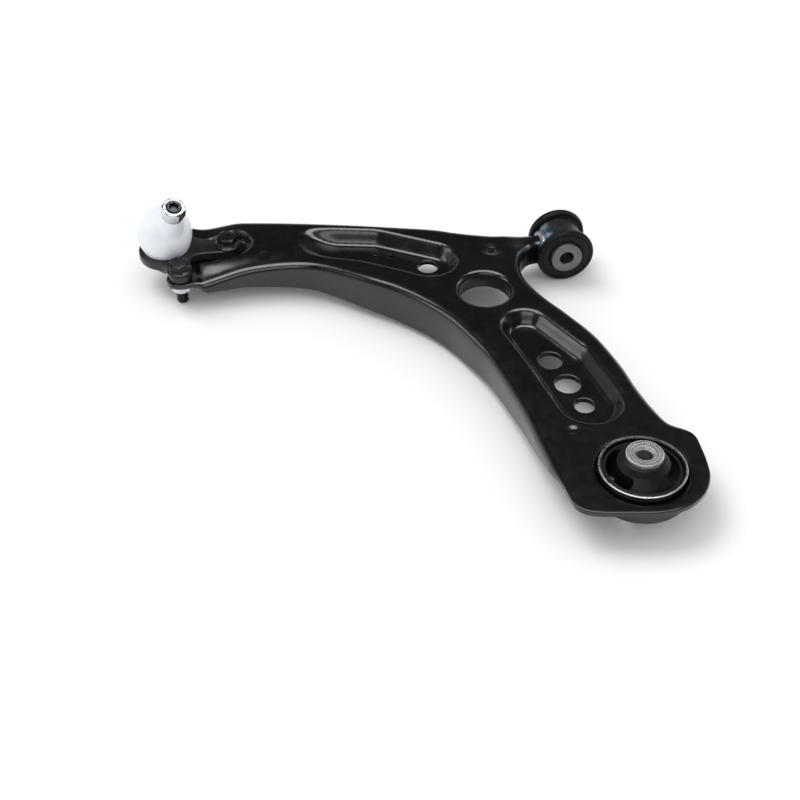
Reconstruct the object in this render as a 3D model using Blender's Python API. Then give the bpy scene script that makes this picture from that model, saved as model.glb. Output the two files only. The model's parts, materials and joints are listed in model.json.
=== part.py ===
"""Front lower control arm for a car's left wheel: a pressed steel L-shaped arm with a
bolted ball joint at its outer end and two rubber bushes at its inner end.

Units are metres. +Z is up, +X points inboard to the two bushes, +Y points to the front of the car.
The origin is on the surface that the arm rests on, at the middle of its box. Names ending in _R are
radii. Places are (x, y) or (x, y, z).
"""

import math

import bmesh
import bpy
import numpy as np
from mathutils import Matrix, Vector
from mathutils.geometry import delaunay_2d_cdt

GAP = 0.0003  # air between pieces that touch

# --- driving dimensions -----------------------------------------------------------------------
SHEET = 0.004  # thickness of the pressed sheet
CROWN_Z = 0.040  # highest level of the arm's top face
PAD_Z = 0.024  # level of the ball joint's pad
EDGE_BEND_R = 0.005  # bend between the top face and the flanges
CUT_EDGE_R = 0.001  # rounding of an edge that has no flange

REAR_BUSH = (0.1494, -0.1699)
REAR_SLEEVE_R = 0.0325
REAR_SLEEVE_Z = (0.012, 0.038)
REAR_INNER_R = 0.0139
REAR_BORE_R = 0.0061
REAR_INNER_TOP = 0.051

FRONT_BUSH = (0.1685, 0.0255)  # (x, z) of the axis, which runs along Y
FRONT_SLEEVE_Y = (0.1065, 0.1505)
FRONT_SLEEVE_R = 0.0137
FRONT_BORE_R = 0.0061
FRONT_TUBE_R = 0.020
FRONT_TUBE_Y = (0.1166, 0.1404)
FRONT_RUBBER_R = 0.0252
FRONT_RUBBER_Y = (0.1095, 0.1475)

BALL = (-0.1744, 0.1745, 0.026)  # centre of the ball
BALL_R = 0.0115
STUD_TILT = math.radians(22.5)  # lean of the stud from +Z
STUD_HEADING = math.radians(292)  # which way it leans, from +X towards +Y
PLATE_Z = (PAD_Z + GAP, 0.032)
PLATE_R = 0.0255
CUP_R = 0.0162  # the cup forged under the plate, and the bowl turned in it for the seat
CUP_IN_R = 0.0134
CUP_FLOOR_Z = 0.0098
COVER_R = 0.0060  # the disc that closes the cup's floor
SOCKET_LIP_Z = 0.030  # the lip over the ball seat, narrower than the ball
SOCKET_LIP_R = 0.0111
CAP_R = 0.0237
CAP_FOOT_R = 0.0195
CAP_OPENING_R = 0.0105
CAP_CENTRE = (-0.1758, 0.1752, 0.0488)

BOLTS = [(-0.1226, 0.1695), (-0.1665, 0.1380), (-0.1645, 0.2076)]
BOLT_R = 0.005
BOLT_HOLE_R = 0.0056
BOLT_FLANGE_R = 0.0108
BOLT_HEAD_AF = 0.0155
BOLT_HEAD_TOP = 0.0410
NUT_AF = 0.015

# Corners of the top face as (x, y, depth), anticlockwise from the near prong. Depth is how far the
# edge reaches down from the top face: SHEET is a plain cut edge, and more is a turned-down flange.
OUTLINE = [
    (-0.1775, 0.1380, 0.004), (-0.1742, 0.1305, 0.004), (-0.1665, 0.1275, 0.004),
    (-0.1570, 0.1290, 0.005), (-0.1480, 0.1305, 0.009), (-0.1300, 0.1325, 0.013),
    (-0.1120, 0.1345, 0.017), (-0.0900, 0.1335, 0.021), (-0.0680, 0.1300, 0.024),
    (-0.0500, 0.1235, 0.026), (-0.0300, 0.1100, 0.029), (-0.0080, 0.0920, 0.032),
    (0.0140, 0.0745, 0.034), (0.0350, 0.0525, 0.034), (0.0500, 0.0310, 0.034),
    (0.0620, 0.0050, 0.032), (0.0730, -0.0250, 0.029), (0.0805, -0.0600, 0.026),
    (0.0855, -0.0920, 0.022), (0.0880, -0.1200, 0.017), (0.0900, -0.1450, 0.011),
    (0.0905, -0.1700, 0.006), (0.0918, -0.1880, 0.004), (0.0955, -0.1985, 0.004),
    (0.1060, -0.2045, 0.004), (0.1289, -0.2089, 0.004), (0.1518, -0.2122, 0.004),
    (0.1705, -0.2092, 0.004), (0.1862, -0.1985, 0.004), (0.1948, -0.1845, 0.004),
    (0.1978, -0.1700, 0.004), (0.1990, -0.1560, 0.004), (0.1992, -0.1420, 0.004),
    (0.1945, -0.1342, 0.007),
    (0.1825, -0.1240, 0.012), (0.1755, -0.1060, 0.017), (0.1695, -0.0800, 0.020),
    (0.1655, -0.0527, 0.022), (0.1560, -0.0160, 0.023), (0.1425, 0.0130, 0.024),
    (0.1275, 0.0400, 0.024), (0.1180, 0.0640, 0.024), (0.1160, 0.0840, 0.024),
    (0.1195, 0.1000, 0.022), (0.1270, 0.1115, 0.020), (0.1350, 0.1196, 0.020),
    (0.1435, 0.1230, 0.020), (0.1530, 0.1236, 0.020), (0.1680, 0.1238, 0.020),
    (0.1680, 0.1330, 0.020), (0.1530, 0.1330, 0.020), (0.1390, 0.1322, 0.020),
    (0.1240, 0.1300, 0.020),
    (0.1080, 0.1305, 0.020), (0.0900, 0.1360, 0.020), (0.0730, 0.1425, 0.020),
    (0.0544, 0.1505, 0.020), (0.0120, 0.1625, 0.020), (-0.0390, 0.1775, 0.020),
    (-0.0944, 0.1945, 0.017), (-0.1200, 0.2020, 0.013), (-0.1400, 0.2075, 0.009),
    (-0.1510, 0.2118, 0.006), (-0.1600, 0.2170, 0.004), (-0.1695, 0.2168, 0.004),
    (-0.1750, 0.2095, 0.004), (-0.1725, 0.2000, 0.004), (-0.1640, 0.1920, 0.004),
    (-0.1560, 0.1840, 0.004), (-0.1522, 0.1745, 0.004), (-0.1545, 0.1650, 0.004),
    (-0.1610, 0.1570, 0.004), (-0.1700, 0.1500, 0.004), (-0.1755, 0.1455, 0.004),
]

# The forged plate's near ear, tail and far ear, from the disc's near side round to its far side.
PLATE_SIDES = [
    (-0.1783, 0.1465), (-0.1764, 0.1400), (-0.1748, 0.1332), (-0.1708, 0.1290), (-0.1655, 0.1280),
    (-0.1603, 0.1298), (-0.1572, 0.1345), (-0.1563, 0.1410), (-0.1566, 0.1480), (-0.1555, 0.1545),
    (-0.1515, 0.1593), (-0.1440, 0.1605), (-0.1340, 0.1600), (-0.1226, 0.1597), (-0.1155, 0.1627),
    (-0.1127, 0.1697), (-0.1155, 0.1767), (-0.1226, 0.1797), (-0.1340, 0.1812), (-0.1440, 0.1828),
    (-0.1505, 0.1870), (-0.1530, 0.1930), (-0.1545, 0.1990), (-0.1548, 0.2060), (-0.1572, 0.2132),
    (-0.1637, 0.2170), (-0.1704, 0.2153), (-0.1742, 0.2100), (-0.1762, 0.2042), (-0.1795, 0.2010),
]

# Pressed pockets as chains of (x, y, half width), their depth, and the run of their walls.
OUTER_POCKET = [(-0.048, 0.1545, 0.020), (0.000, 0.1370, 0.025), (0.046, 0.1080, 0.026)]
REAR_POCKET = [(0.106, 0.006, 0.022), (0.123, -0.038, 0.028), (0.1335, -0.0885, 0.028)]
JOINT_RECESS = [(-0.150, 0.1722, 0.025), (-0.121, 0.1712, 0.021)]
OUTER_POCKET_DEPTH = 0.0125
REAR_POCKET_DEPTH = 0.011
POCKET_RUN = 0.011
RIDGE_END_X = -0.1475  # where the near ridge beside the ball joint stops
FAR_RAMP_X = -0.108  # where the far ridge starts to slope down to the pad
FAR_RAMP_RUN = 0.0455
NECK_FALL = 0.005  # how far the top face falls towards the front bush
JOINT_END_X = -0.098  # outboard of this the sheet is meshed more finely
JOINT_GRID = 0.006
ARM_GRID = 0.0115

# Holes as (x, y, radius, bend radius, depth). Depth over SHEET is a plunged rim.
HOLES = [
    (0.0840, 0.0590, 0.0214, 0.005, 0.015),
    (REAR_BUSH[0], REAR_BUSH[1], REAR_SLEEVE_R + GAP, 0.0042, 0.018),
    (0.1186, -0.0273, 0.0100, 0.001, SHEET), (0.1251, -0.0569, 0.0104, 0.001, SHEET),
    (0.1314, -0.0832, 0.0080, 0.001, SHEET), (0.0456, 0.1131, 0.0087, 0.001, SHEET),
    (0.0029, 0.1358, 0.0024, 0.0004, SHEET), (0.0164, 0.1339, 0.0024, 0.0004, SHEET),
    (0.1014, 0.1124, 0.0042, 0.0008, SHEET),
] + [(x, y, BOLT_HOLE_R, 0.0005, SHEET) for x, y in BOLTS]


# --- small helpers ----------------------------------------------------------------------------
def smooth(t):
    """0 below t = 0, 1 above t = 1, and a smooth S in between."""
    t = np.clip(t, 0.0, 1.0)
    return t * t * (3 - 2 * t)


def material(name, color, roughness, metallic):
    m = bpy.data.materials.new(name)
    m.use_nodes = True
    shader = m.node_tree.nodes["Principled BSDF"]
    shader.inputs["Base Color"].default_value = (*color, 1)
    shader.inputs["Roughness"].default_value = roughness
    shader.inputs["Metallic"].default_value = metallic
    return m


def add_object(name, bm, mat, matrix=Matrix.Identity(4), parent=None):
    """Makes an object from bm, which is in the object's own frame, and stands it at matrix."""
    bmesh.ops.recalc_face_normals(bm, faces=bm.faces)
    mesh = bpy.data.meshes.new(name)
    bm.to_mesh(mesh)
    bm.free()
    mesh.shade_smooth()
    mesh.set_sharp_from_angle(angle=math.radians(35))
    mesh.materials.append(mat)
    obj = bpy.data.objects.new(name, mesh)
    bpy.context.scene.collection.objects.link(obj)
    obj.parent = parent
    obj.matrix_world = matrix
    return obj


def turned(profile, segments, radius_at=None):
    """A solid of revolution about Z. profile is a closed list of (radius, z). A radius of 0 is a
    point on the axis. radius_at(angle, index, radius) may change a point's radius."""
    bm = bmesh.new()
    rings = []
    for index, (radius, z) in enumerate(profile):
        if radius == 0:
            rings.append([bm.verts.new((0, 0, z))])
            continue
        ring = []
        for k in range(segments):
            angle = 2 * math.pi * k / segments
            r = radius_at(angle, index, radius) if radius_at else radius
            ring.append(bm.verts.new((r * math.cos(angle), r * math.sin(angle), z)))
        rings.append(ring)
    for a, b in zip(rings, rings[1:] + rings[:1]):
        if len(a) == 1 and len(b) == 1:
            continue
        for k in range(segments):
            n = (k + 1) % segments
            corners = [a[k % len(a)], a[n % len(a)], b[n % len(b)], b[k % len(b)]]
            bm.faces.new(list(dict.fromkeys(corners)))
    return bm


def prism(outline, z0, z1):
    """A straight prism on a closed outline of (x, y)."""
    bm = bmesh.new()
    low = [bm.verts.new((x, y, z0)) for x, y in outline]
    high = [bm.verts.new((x, y, z1)) for x, y in outline]
    bm.faces.new(low[::-1])
    bm.faces.new(high)
    for k in range(len(outline)):
        n = (k + 1) % len(outline)
        bm.faces.new((low[k], low[n], high[n], high[k]))
    return bm


def circle(cx, cy, radius, segments, start=0.0):
    return [
        (cx + radius * math.cos(start + 2 * math.pi * k / segments),
         cy + radius * math.sin(start + 2 * math.pi * k / segments))
        for k in range(segments)
    ]


def cutter(name, bm, matrix=Matrix.Identity(4)):
    """A helper object for a Boolean: it isn't a piece of the arm."""
    mesh = bpy.data.meshes.new(name)
    bmesh.ops.recalc_face_normals(bm, faces=bm.faces)
    bm.to_mesh(mesh)
    bm.free()
    obj = bpy.data.objects.new(name, mesh)
    bpy.context.scene.collection.objects.link(obj)
    obj.matrix_world = matrix
    obj.hide_render = True
    obj.display_type = "WIRE"
    return obj


def boolean(obj, tool, operation="DIFFERENCE"):
    mod = obj.modifiers.new(tool.name, "BOOLEAN")
    mod.operation = operation
    mod.solver = "EXACT"
    mod.object = tool


def along_y(x, y, z):
    """A frame at (x, y, z) whose own Z runs along world -Y."""
    return Matrix.Translation((x, y, z)) @ Matrix.Rotation(math.radians(90), 4, "X")


# --- the pressed arm --------------------------------------------------------------------------
def smooth_outline(points, step):
    """A closed Catmull-Rom curve through points, sampled about every step metres."""
    p = np.array(points, float)
    count = len(p)
    samples = []
    for k in range(count):
        a, b, c, d = (p[(k + j) % count] for j in (-1, 0, 1, 2))
        pieces = max(1, round(float(np.linalg.norm((c - b)[:2])) / step))
        for t in np.arange(pieces) / pieces:
            samples.append(0.5 * (2 * b + (c - a) * t + (2 * a - 5 * b + 4 * c - d) * t**2
                                  + (3 * b - a - 3 * c + d) * t**3))
    return np.array(samples)


def inside_chain(xy, chain):
    """How far each point is inside a chain of circles joined by straight sides, in metres."""
    best = np.full(len(xy), -1.0)
    for (x0, y0, r0), (x1, y1, r1) in zip(chain, chain[1:]):
        a, ab = np.array((x0, y0)), np.array((x1 - x0, y1 - y0))
        u = np.clip((xy - a) @ ab / (ab @ ab), 0, 1)
        away = np.linalg.norm(xy - a - u[:, None] * ab, axis=1)
        best = np.maximum(best, r0 + u * (r1 - r0) - away)
    return best


def top_height(xy):
    """Height of the arm's top face at each (x, y)."""
    x, y = xy[:, 0], xy[:, 1]
    outward = np.clip((0.020 - x) / 0.170, 0, 1)
    z = CROWN_Z - 0.0105 * outward**2
    z -= 0.0273 * np.clip(0.095 - y, 0, 0.220)
    z -= NECK_FALL * smooth((x - 0.112) / 0.032) * smooth((y - 0.098) / 0.022)
    near = np.clip((0.150 - y) / 0.020, 0, 1) * np.clip((0.020 - x) / 0.060, 0, 1)
    z -= (0.001 + 0.006 * outward**2) * smooth(near)
    ramp = smooth((x + 0.070) / 0.045)
    z -= OUTER_POCKET_DEPTH * ramp * smooth(inside_chain(xy, OUTER_POCKET) / POCKET_RUN)
    z -= REAR_POCKET_DEPTH * smooth(inside_chain(xy, REAR_POCKET) / POCKET_RUN)
    near_end = smooth((RIDGE_END_X - x) / 0.005)
    far_end = smooth((FAR_RAMP_X - x) / FAR_RAMP_RUN) * smooth((y - 0.178) / 0.012)
    recess = smooth(inside_chain(xy, JOINT_RECESS) / 0.006)
    pad = np.maximum(np.maximum(near_end, far_end), recess)
    return z + (PAD_Z - z) * pad


def is_inside(xy, loop):
    """Which points are inside a closed loop, by the even-odd rule."""
    inside = np.zeros(len(xy), bool)
    x, y = xy[:, 0], xy[:, 1]
    for (x0, y0), (x1, y1) in zip(loop, np.roll(loop, -1, axis=0)):
        if y0 == y1:
            continue
        crosses = (y0 > y) != (y1 > y)
        inside ^= crosses & (x < x0 + (y - y0) * (x1 - x0) / (y1 - y0))
    return inside


def loop_distance(xy, loop):
    """The distance from each point to a closed loop."""
    best = np.full(len(xy), 1.0)
    for a, b in zip(loop, np.roll(loop, -1, axis=0)):
        ab = b - a
        u = np.clip((xy - a) @ ab / (ab @ ab), 0, 1)
        best = np.minimum(best, np.linalg.norm(xy - a - u[:, None] * ab, axis=1))
    return best


def hole_segments(radius):
    return 32 if radius > 0.02 else 16 if radius > 0.007 else 8


def bent_share(depth):
    """0 where the edge is only cut, 1 where it is a full flange."""
    return smooth((depth - SHEET) / 0.006)


def edge_profile(radius, depth):
    """Points of a turned edge as (outwards, down): those of the outer skin, and those of the inner."""
    flange = float(bent_share(depth))
    inner = max(radius - SHEET, 0.0006)
    outer_plain = [(0.6 * radius, 0.15 * radius), (radius, radius * 0.7), (radius, SHEET)]
    outer_bent = [(0.7 * radius, 0.3 * radius), (radius, radius), (radius, depth)]
    inner_plain = [(0.3 * radius, SHEET), (0.55 * radius, SHEET), (0.8 * radius, SHEET)]
    inner_bent = [(0.7 * inner, SHEET + 0.3 * inner), (inner, SHEET + inner), (inner, depth)]

    def mix(plain, bent):
        return [tuple(p + (b - p) * flange for p, b in zip(pp, bb)) for pp, bb in zip(plain, bent)]

    return mix(outer_plain, outer_bent), mix(inner_plain, inner_bent)


def staggered(lo, hi, pitch):
    """Points in rows, every other row shifted by half a pitch."""
    rows = np.arange(lo[1], hi[1], pitch * 0.866)
    return np.array([(x + (k % 2) * pitch / 2, y)
                     for k, y in enumerate(rows) for x in np.arange(lo[0], hi[0], pitch)])


def arm_mesh(spacing):
    """The pressed arm as one closed sheet: a top and a bottom skin joined round every edge."""
    rim = smooth_outline(OUTLINE, spacing)
    rim_bend = CUT_EDGE_R + (EDGE_BEND_R - CUT_EDGE_R) * bent_share(rim[:, 2])
    loops = [(rim[:, :2], rim[:, 2], rim_bend)]
    for x, y, radius, bend, depth in HOLES:
        ring = np.array(circle(x, y, radius + bend, hole_segments(radius)))[::-1]
        loops.append((ring, np.full(len(ring), depth), np.full(len(ring), bend)))

    lo, hi = rim[:, :2].min(0), rim[:, :2].max(0)
    joint_grid = staggered(lo, (JOINT_END_X, hi[1]), JOINT_GRID)
    arm_grid = staggered((JOINT_END_X, lo[1]), hi, spacing)
    pitch = np.concatenate((np.full(len(joint_grid), JOINT_GRID), np.full(len(arm_grid), spacing)))
    grid = np.vstack((joint_grid, arm_grid))
    keep = is_inside(grid, loops[0][0]) & (loop_distance(grid, loops[0][0]) > 0.55 * pitch)
    for x, y, radius, bend, depth in HOLES:
        keep &= np.hypot(grid[:, 0] - x, grid[:, 1] - y) > radius + bend + 0.5 * pitch
    points = [loop for loop, _, _ in loops] + [grid[keep]]
    edges, first = [], 0
    for loop, _, _ in loops:
        edges += [(first + k, first + (k + 1) % len(loop)) for k in range(len(loop))]
        first += len(loop)
    flat = np.vstack(points)
    tris = delaunay_2d_cdt([Vector(p) for p in flat], edges, [], 0, 1e-7)[2]
    middle = np.array([flat[list(t)].mean(0) for t in tris])
    solid = is_inside(middle, loops[0][0])
    for loop, _, _ in loops[1:]:
        solid &= ~is_inside(middle, loop)

    bm = bmesh.new()
    z = top_height(flat)
    top = [bm.verts.new((x, y, h)) for (x, y), h in zip(flat, z)]
    low = [bm.verts.new((x, y, h - SHEET)) for (x, y), h in zip(flat, z)]
    for keep_face, t in zip(solid, tris):
        if keep_face:
            bm.faces.new([top[k] for k in t])
            bm.faces.new([low[k] for k in reversed(t)])
    first = 0
    for loop, depths, bends in loops:
        add_edge(bm, top, low, first, loop, depths, bends)
        first += len(loop)
    return bm


def add_edge(bm, top, low, first, loop, depths, bends):
    """Turns the edge of both skins down along one loop, and closes it at the bottom."""
    count = len(loop)
    along = np.roll(loop, -1, axis=0) - np.roll(loop, 1, axis=0)
    outward = np.stack((along[:, 1], -along[:, 0]), axis=1)
    outward /= np.linalg.norm(outward, axis=1)[:, None]
    columns = []
    for k in range(count):
        outer, inner = edge_profile(float(bends[k]), float(depths[k]))
        z = top[first + k].co.z

        def place(out, down):
            x, y = loop[k] + outward[k] * out
            return bm.verts.new((x, y, z - down))

        skin = [top[first + k]] + [place(*p) for p in outer]
        back = [low[first + k]] + [place(*p) for p in inner]
        columns.append(skin + back[::-1])
    for a, b in zip(columns, columns[1:] + columns[:1]):
        for k in range(len(a) - 1):
            bm.faces.new((a[k], b[k], b[k + 1], a[k + 1]))


def make_arm(mat):
    arm = add_object("arm_shell", arm_mesh(ARM_GRID), mat)
    x, z = FRONT_BUSH
    seat = turned([(0, -0.03), (FRONT_TUBE_R + GAP, -0.03), (FRONT_TUBE_R + GAP, 0.03), (0, 0.03)], 48)
    boolean(arm, cutter("eye_seat", seat, along_y(x, 0.1285, z)))


# --- front bush -------------------------------------------------------------------------------
def make_front_bush(mats, parent):
    x, z = FRONT_BUSH
    middle = sum(FRONT_SLEEVE_Y) / 2
    here = along_y(x, middle, z)
    half_tube = (FRONT_TUBE_Y[1] - FRONT_TUBE_Y[0]) / 2
    half_rubber = (FRONT_RUBBER_Y[1] - FRONT_RUBBER_Y[0]) / 2
    half_sleeve = (FRONT_SLEEVE_Y[1] - FRONT_SLEEVE_Y[0]) / 2
    wall = 0.0028
    tube_in = FRONT_TUBE_R - wall
    outer_in = tube_in - GAP - 0.0012
    tube = [(tube_in, -half_tube), (FRONT_TUBE_R, -half_tube), (FRONT_TUBE_R, half_tube),
            (tube_in, half_tube)]
    add_object("front_eye_tube", turned(tube, 32), mats["paint"], here)
    shell = [(outer_in, -half_tube), (tube_in - GAP, -half_tube), (tube_in - GAP, half_tube),
             (outer_in, half_tube)]
    add_object("front_bush_outer_sleeve", turned(shell, 32), mats["steel"], here)
    r_in, r_mid, r_out = FRONT_SLEEVE_R + GAP, outer_in - GAP, FRONT_RUBBER_R
    face = half_tube + GAP
    rubber = [(r_in, -half_rubber + 0.001), (r_in + 0.001, -half_rubber), (r_out - 0.0012, -half_rubber),
              (r_out, -half_rubber + 0.0012), (r_out, -face - 0.0008), (r_out - 0.0008, -face),
              (r_mid, -face), (r_mid, face), (r_out - 0.0008, face), (r_out, face + 0.0008),
              (r_out, half_rubber - 0.0012), (r_out - 0.0012, half_rubber),
              (r_in + 0.001, half_rubber), (r_in, half_rubber - 0.001)]
    add_object("front_bush_rubber", turned(rubber, 32), mats["rubber"], here)
    bore, rim = FRONT_BORE_R, 0.001
    sleeve = [(bore, -half_sleeve + rim), (bore + rim, -half_sleeve), (FRONT_SLEEVE_R - 0.0006, -half_sleeve),
              (FRONT_SLEEVE_R, -half_sleeve + 0.0006), (FRONT_SLEEVE_R, half_sleeve - 0.0006),
              (FRONT_SLEEVE_R - 0.0006, half_sleeve), (bore + rim, half_sleeve), (bore, half_sleeve - rim)]
    add_object("front_bush_inner_sleeve", turned(sleeve, 32), mats["dull_steel"], here, parent)


# --- rear bush --------------------------------------------------------------------------------
def make_rear_bush(mats, parent):
    x, y = REAR_BUSH
    here = Matrix.Translation((x, y, 0))
    z0, z1 = REAR_SLEEVE_Z
    wall = 0.0025
    outer_in = REAR_SLEEVE_R - wall
    ring = [(outer_in, z0), (REAR_SLEEVE_R - 0.0005, z0), (REAR_SLEEVE_R, z0 + 0.0005),
            (REAR_SLEEVE_R, z1 - 0.0005), (REAR_SLEEVE_R - 0.0005, z1), (outer_in, z1)]
    add_object("rear_bush_outer_sleeve", turned(ring, 40), mats["steel"], here)
    r_in, r_out = REAR_INNER_R + GAP, outer_in - GAP
    rubber = [(r_in, 0.006), (0.022, 0.009), (r_out, 0.0135), (r_out, z1 - 0.0015),
              (0.026, 0.0385), (0.0185, 0.0425), (r_in, 0.0455)]
    block = add_object("rear_bush_rubber", turned(rubber, 40), mats["rubber"], here)
    for name, heading in (("void_inboard", 0.0), ("void_outboard", math.pi)):
        boolean(block, cutter(name, kidney(heading), here))
    bore, rim = REAR_BORE_R, 0.0015
    sleeve = [(bore, rim), (bore + rim, 0), (REAR_INNER_R - 0.001, 0), (REAR_INNER_R, 0.001),
              (REAR_INNER_R, REAR_INNER_TOP - 0.001), (REAR_INNER_R - 0.001, REAR_INNER_TOP),
              (bore + rim, REAR_INNER_TOP), (bore, REAR_INNER_TOP - rim)]
    add_object("rear_bush_inner_sleeve", turned(sleeve, 32), mats["bright_steel"], here, parent)


def kidney(heading):
    """A kidney-shaped post, bent round the bush's axis, that cuts one void through the rubber."""
    spread, r0, r1, steps = math.radians(46), 0.0195, 0.0265, 8
    middle, half = (r0 + r1) / 2, (r1 - r0) / 2
    outline = []
    for k in range(steps + 1):
        a = heading - spread + 2 * spread * k / steps
        outline.append((r1 * math.cos(a), r1 * math.sin(a)))
    for turn, centre in ((1, heading + spread), (-1, heading - spread)):
        cx, cy = middle * math.cos(centre), middle * math.sin(centre)
        tip = [centre + t for t in (math.radians(45), math.radians(90), math.radians(135))]
        if turn < 0:
            for k in range(steps + 1):
                a = heading + spread - 2 * spread * k / steps
                outline.append((r0 * math.cos(a), r0 * math.sin(a)))
            tip = [centre + t for t in (math.radians(225), math.radians(270), math.radians(315))]
        outline += [(cx + half * math.cos(t), cy + half * math.sin(t)) for t in tip]
    return prism(outline, -0.002, 0.060)


# --- ball joint -------------------------------------------------------------------------------
def stud_frame():
    """A frame at the ball's centre whose Z runs up the stud."""
    lean = Vector((math.sin(STUD_TILT) * math.cos(STUD_HEADING),
                   math.sin(STUD_TILT) * math.sin(STUD_HEADING), math.cos(STUD_TILT)))
    return Matrix.Translation(BALL) @ lean.to_track_quat("Z", "Y").to_matrix().to_4x4()


def plate_outline():
    """Outline of the forged plate: a disc round the cup, a tail and two bolt ears."""
    cx, cy = BALL[0], BALL[1]
    disc = [(cx + PLATE_R * math.cos(math.radians(a)), cy + PLATE_R * math.sin(math.radians(a)), 0)
            for a in range(108, 250, 20)]
    sides = [(x, y, 0) for x, y in PLATE_SIDES]
    return [(x, y) for x, y, _ in smooth_outline(disc + sides, 0.005)]


def make_ball_joint(mats, ring_parent, stud_parent):
    cx, cy, cz = BALL
    here = Matrix.Translation((cx, cy, 0))
    z0, z1 = PLATE_Z

    plate = add_object("ball_joint_housing", prism(plate_outline(), z0, z1), mats["forged"])
    cup = turned([(0, CUP_FLOOR_Z), (0.0070, CUP_FLOOR_Z), (0.0120, 0.0122), (0.0148, 0.0168), (CUP_R, 0.0215),
                  (CUP_R, z1 - 0.002), (0, z1 - 0.002)], 40)
    boolean(plate, cutter("cup_body", cup, here), "UNION")
    bowl = [(CUP_IN_R * math.cos(math.radians(a)), cz + CUP_IN_R * math.sin(math.radians(a)))
            for a in (-60, -45, -30, -15, 0)]
    socket = turned([(0, CUP_FLOOR_Z - 0.001), (COVER_R + GAP, CUP_FLOOR_Z - 0.001), (COVER_R + GAP, 0.0135)]
                    + bowl + [(CUP_IN_R, SOCKET_LIP_Z), (SOCKET_LIP_R, SOCKET_LIP_Z),
                              (SOCKET_LIP_R + 0.0014, z1 + 0.002), (0, z1 + 0.002)], 40)
    boolean(plate, cutter("cup_socket", socket, here))
    for k, (x, y) in enumerate(BOLTS):
        hole = prism(circle(x, y, BOLT_HOLE_R, 16), z0 - 0.004, z1 + 0.004)
        boolean(plate, cutter(f"plate_hole_{k}", hole))

    lid = [(0, CUP_FLOOR_Z + 0.0002), (COVER_R, CUP_FLOOR_Z + 0.0002), (COVER_R, CUP_FLOOR_Z + 0.0020),
           (0, CUP_FLOOR_Z + 0.0020)]
    add_object("ball_joint_cover", turned(lid, 24), mats["steel"], here)

    seat_out, seat_in = CUP_IN_R - GAP, BALL_R + GAP
    seat_top = SOCKET_LIP_Z - GAP
    inner = [(seat_in * math.cos(math.radians(a)), cz + seat_in * math.sin(math.radians(a)))
             for a in (14, 0, -15, -32, -50, -70)]
    outer = [(seat_out * math.cos(math.radians(a)), cz + seat_out * math.sin(math.radians(a)))
             for a in (-75, -60, -45, -30, -15, 0)]
    seat = [(inner[0][0] + 0.0006, seat_top)] + inner + [(0, cz - seat_in), (0, cz - seat_out)] + outer
    add_object("ball_seat", turned(seat + [(seat_out, seat_top)], 24), mats["nylon"], here)

    make_stud(mats, stud_parent)
    make_boot(mats, ring_parent)


def make_stud(mats, parent):
    frame = stud_frame()
    neck, shank, thread = 0.0062, 0.0066, 0.0058
    ball = [(BALL_R * math.cos(math.radians(a)), BALL_R * math.sin(math.radians(a)))
            for a in (-60, -40, -20, 0, 18, 36)]
    profile = [(0, -BALL_R)] + ball + [(neck, 0.0092), (neck, 0.0150), (shank + 0.0006, 0.0200),
               (shank, 0.0380), (thread, 0.0400), (thread, 0.0672), (thread - 0.0008, 0.0680),
               (0.0038, 0.0680), (0.0034, 0.0640), (0, 0.0640)]
    add_object("ball_stud", turned(profile, 24), mats["stud"], frame, parent)
    add_object("stud_nut", nut_mesh(0.018, 0.0112, thread + GAP), mats["zinc"],
               frame @ Matrix.Translation((0, 0, 0.0560)), parent)


def nut_mesh(af, height, bore):
    """A hexagon nut with a washer-sized foot, standing on z = 0."""
    bm = bmesh.new()
    steps = 24
    rings = []
    for radius, z, hexed in ((bore, 0, 0), (af / 2, 0, 0), (af, 0.0012, 1), (af, height - 0.0012, 1),
                             (af / 2, height, 0), (bore + 0.0006, height, 0), (bore, height - 0.0006, 0)):
        ring = []
        for k in range(steps):
            a = 2 * math.pi * k / steps
            flat = (a + math.pi / 6) % (math.pi / 3) - math.pi / 6
            r = af / 2 / math.cos(flat) if hexed else radius
            ring.append(bm.verts.new((r * math.cos(a), r * math.sin(a), z)))
        rings.append(ring)
    for a, b in zip(rings, rings[1:] + rings[:1]):
        for k in range(steps):
            n = (k + 1) % steps
            bm.faces.new((a[k], a[n], b[n], b[k]))
    return bm


def make_boot(mats, ring_parent):
    """The boot under the cap, its two rings, and the cap. The boot leans with the stud."""
    cx, cy, cz = BALL
    base = Matrix.Translation((cx, cy, 0))
    frame = stud_frame()
    foot = PLATE_Z[1] + GAP
    foot_ring = [(0.0136, foot), (0.0149, foot), (0.0149, foot + 0.0020), (0.0136, foot + 0.0020)]
    add_object("boot_ring_lower", turned(foot_ring, 24), mats["steel"], base)
    top_ring = [(0.0092, 0.0268), (0.0103, 0.0268), (0.0103, 0.0284), (0.0092, 0.0284)]
    add_object("boot_ring_upper", turned(top_ring, 24), mats["steel"], frame, ring_parent)
    add_object("dust_boot", leaning_skin(
        [(0.0133, 0.0), (0.0133, 0.10), (0.0166, 0.32), (0.0152, 0.62), (0.0116, 0.79), (0.0089, 0.88), (0.0089, 1.0)],
        foot, 0.0290, 0.0012, 24), mats["rubber"])
    add_object("protective_cap", cap_mesh(), mats["cap"])


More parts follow.
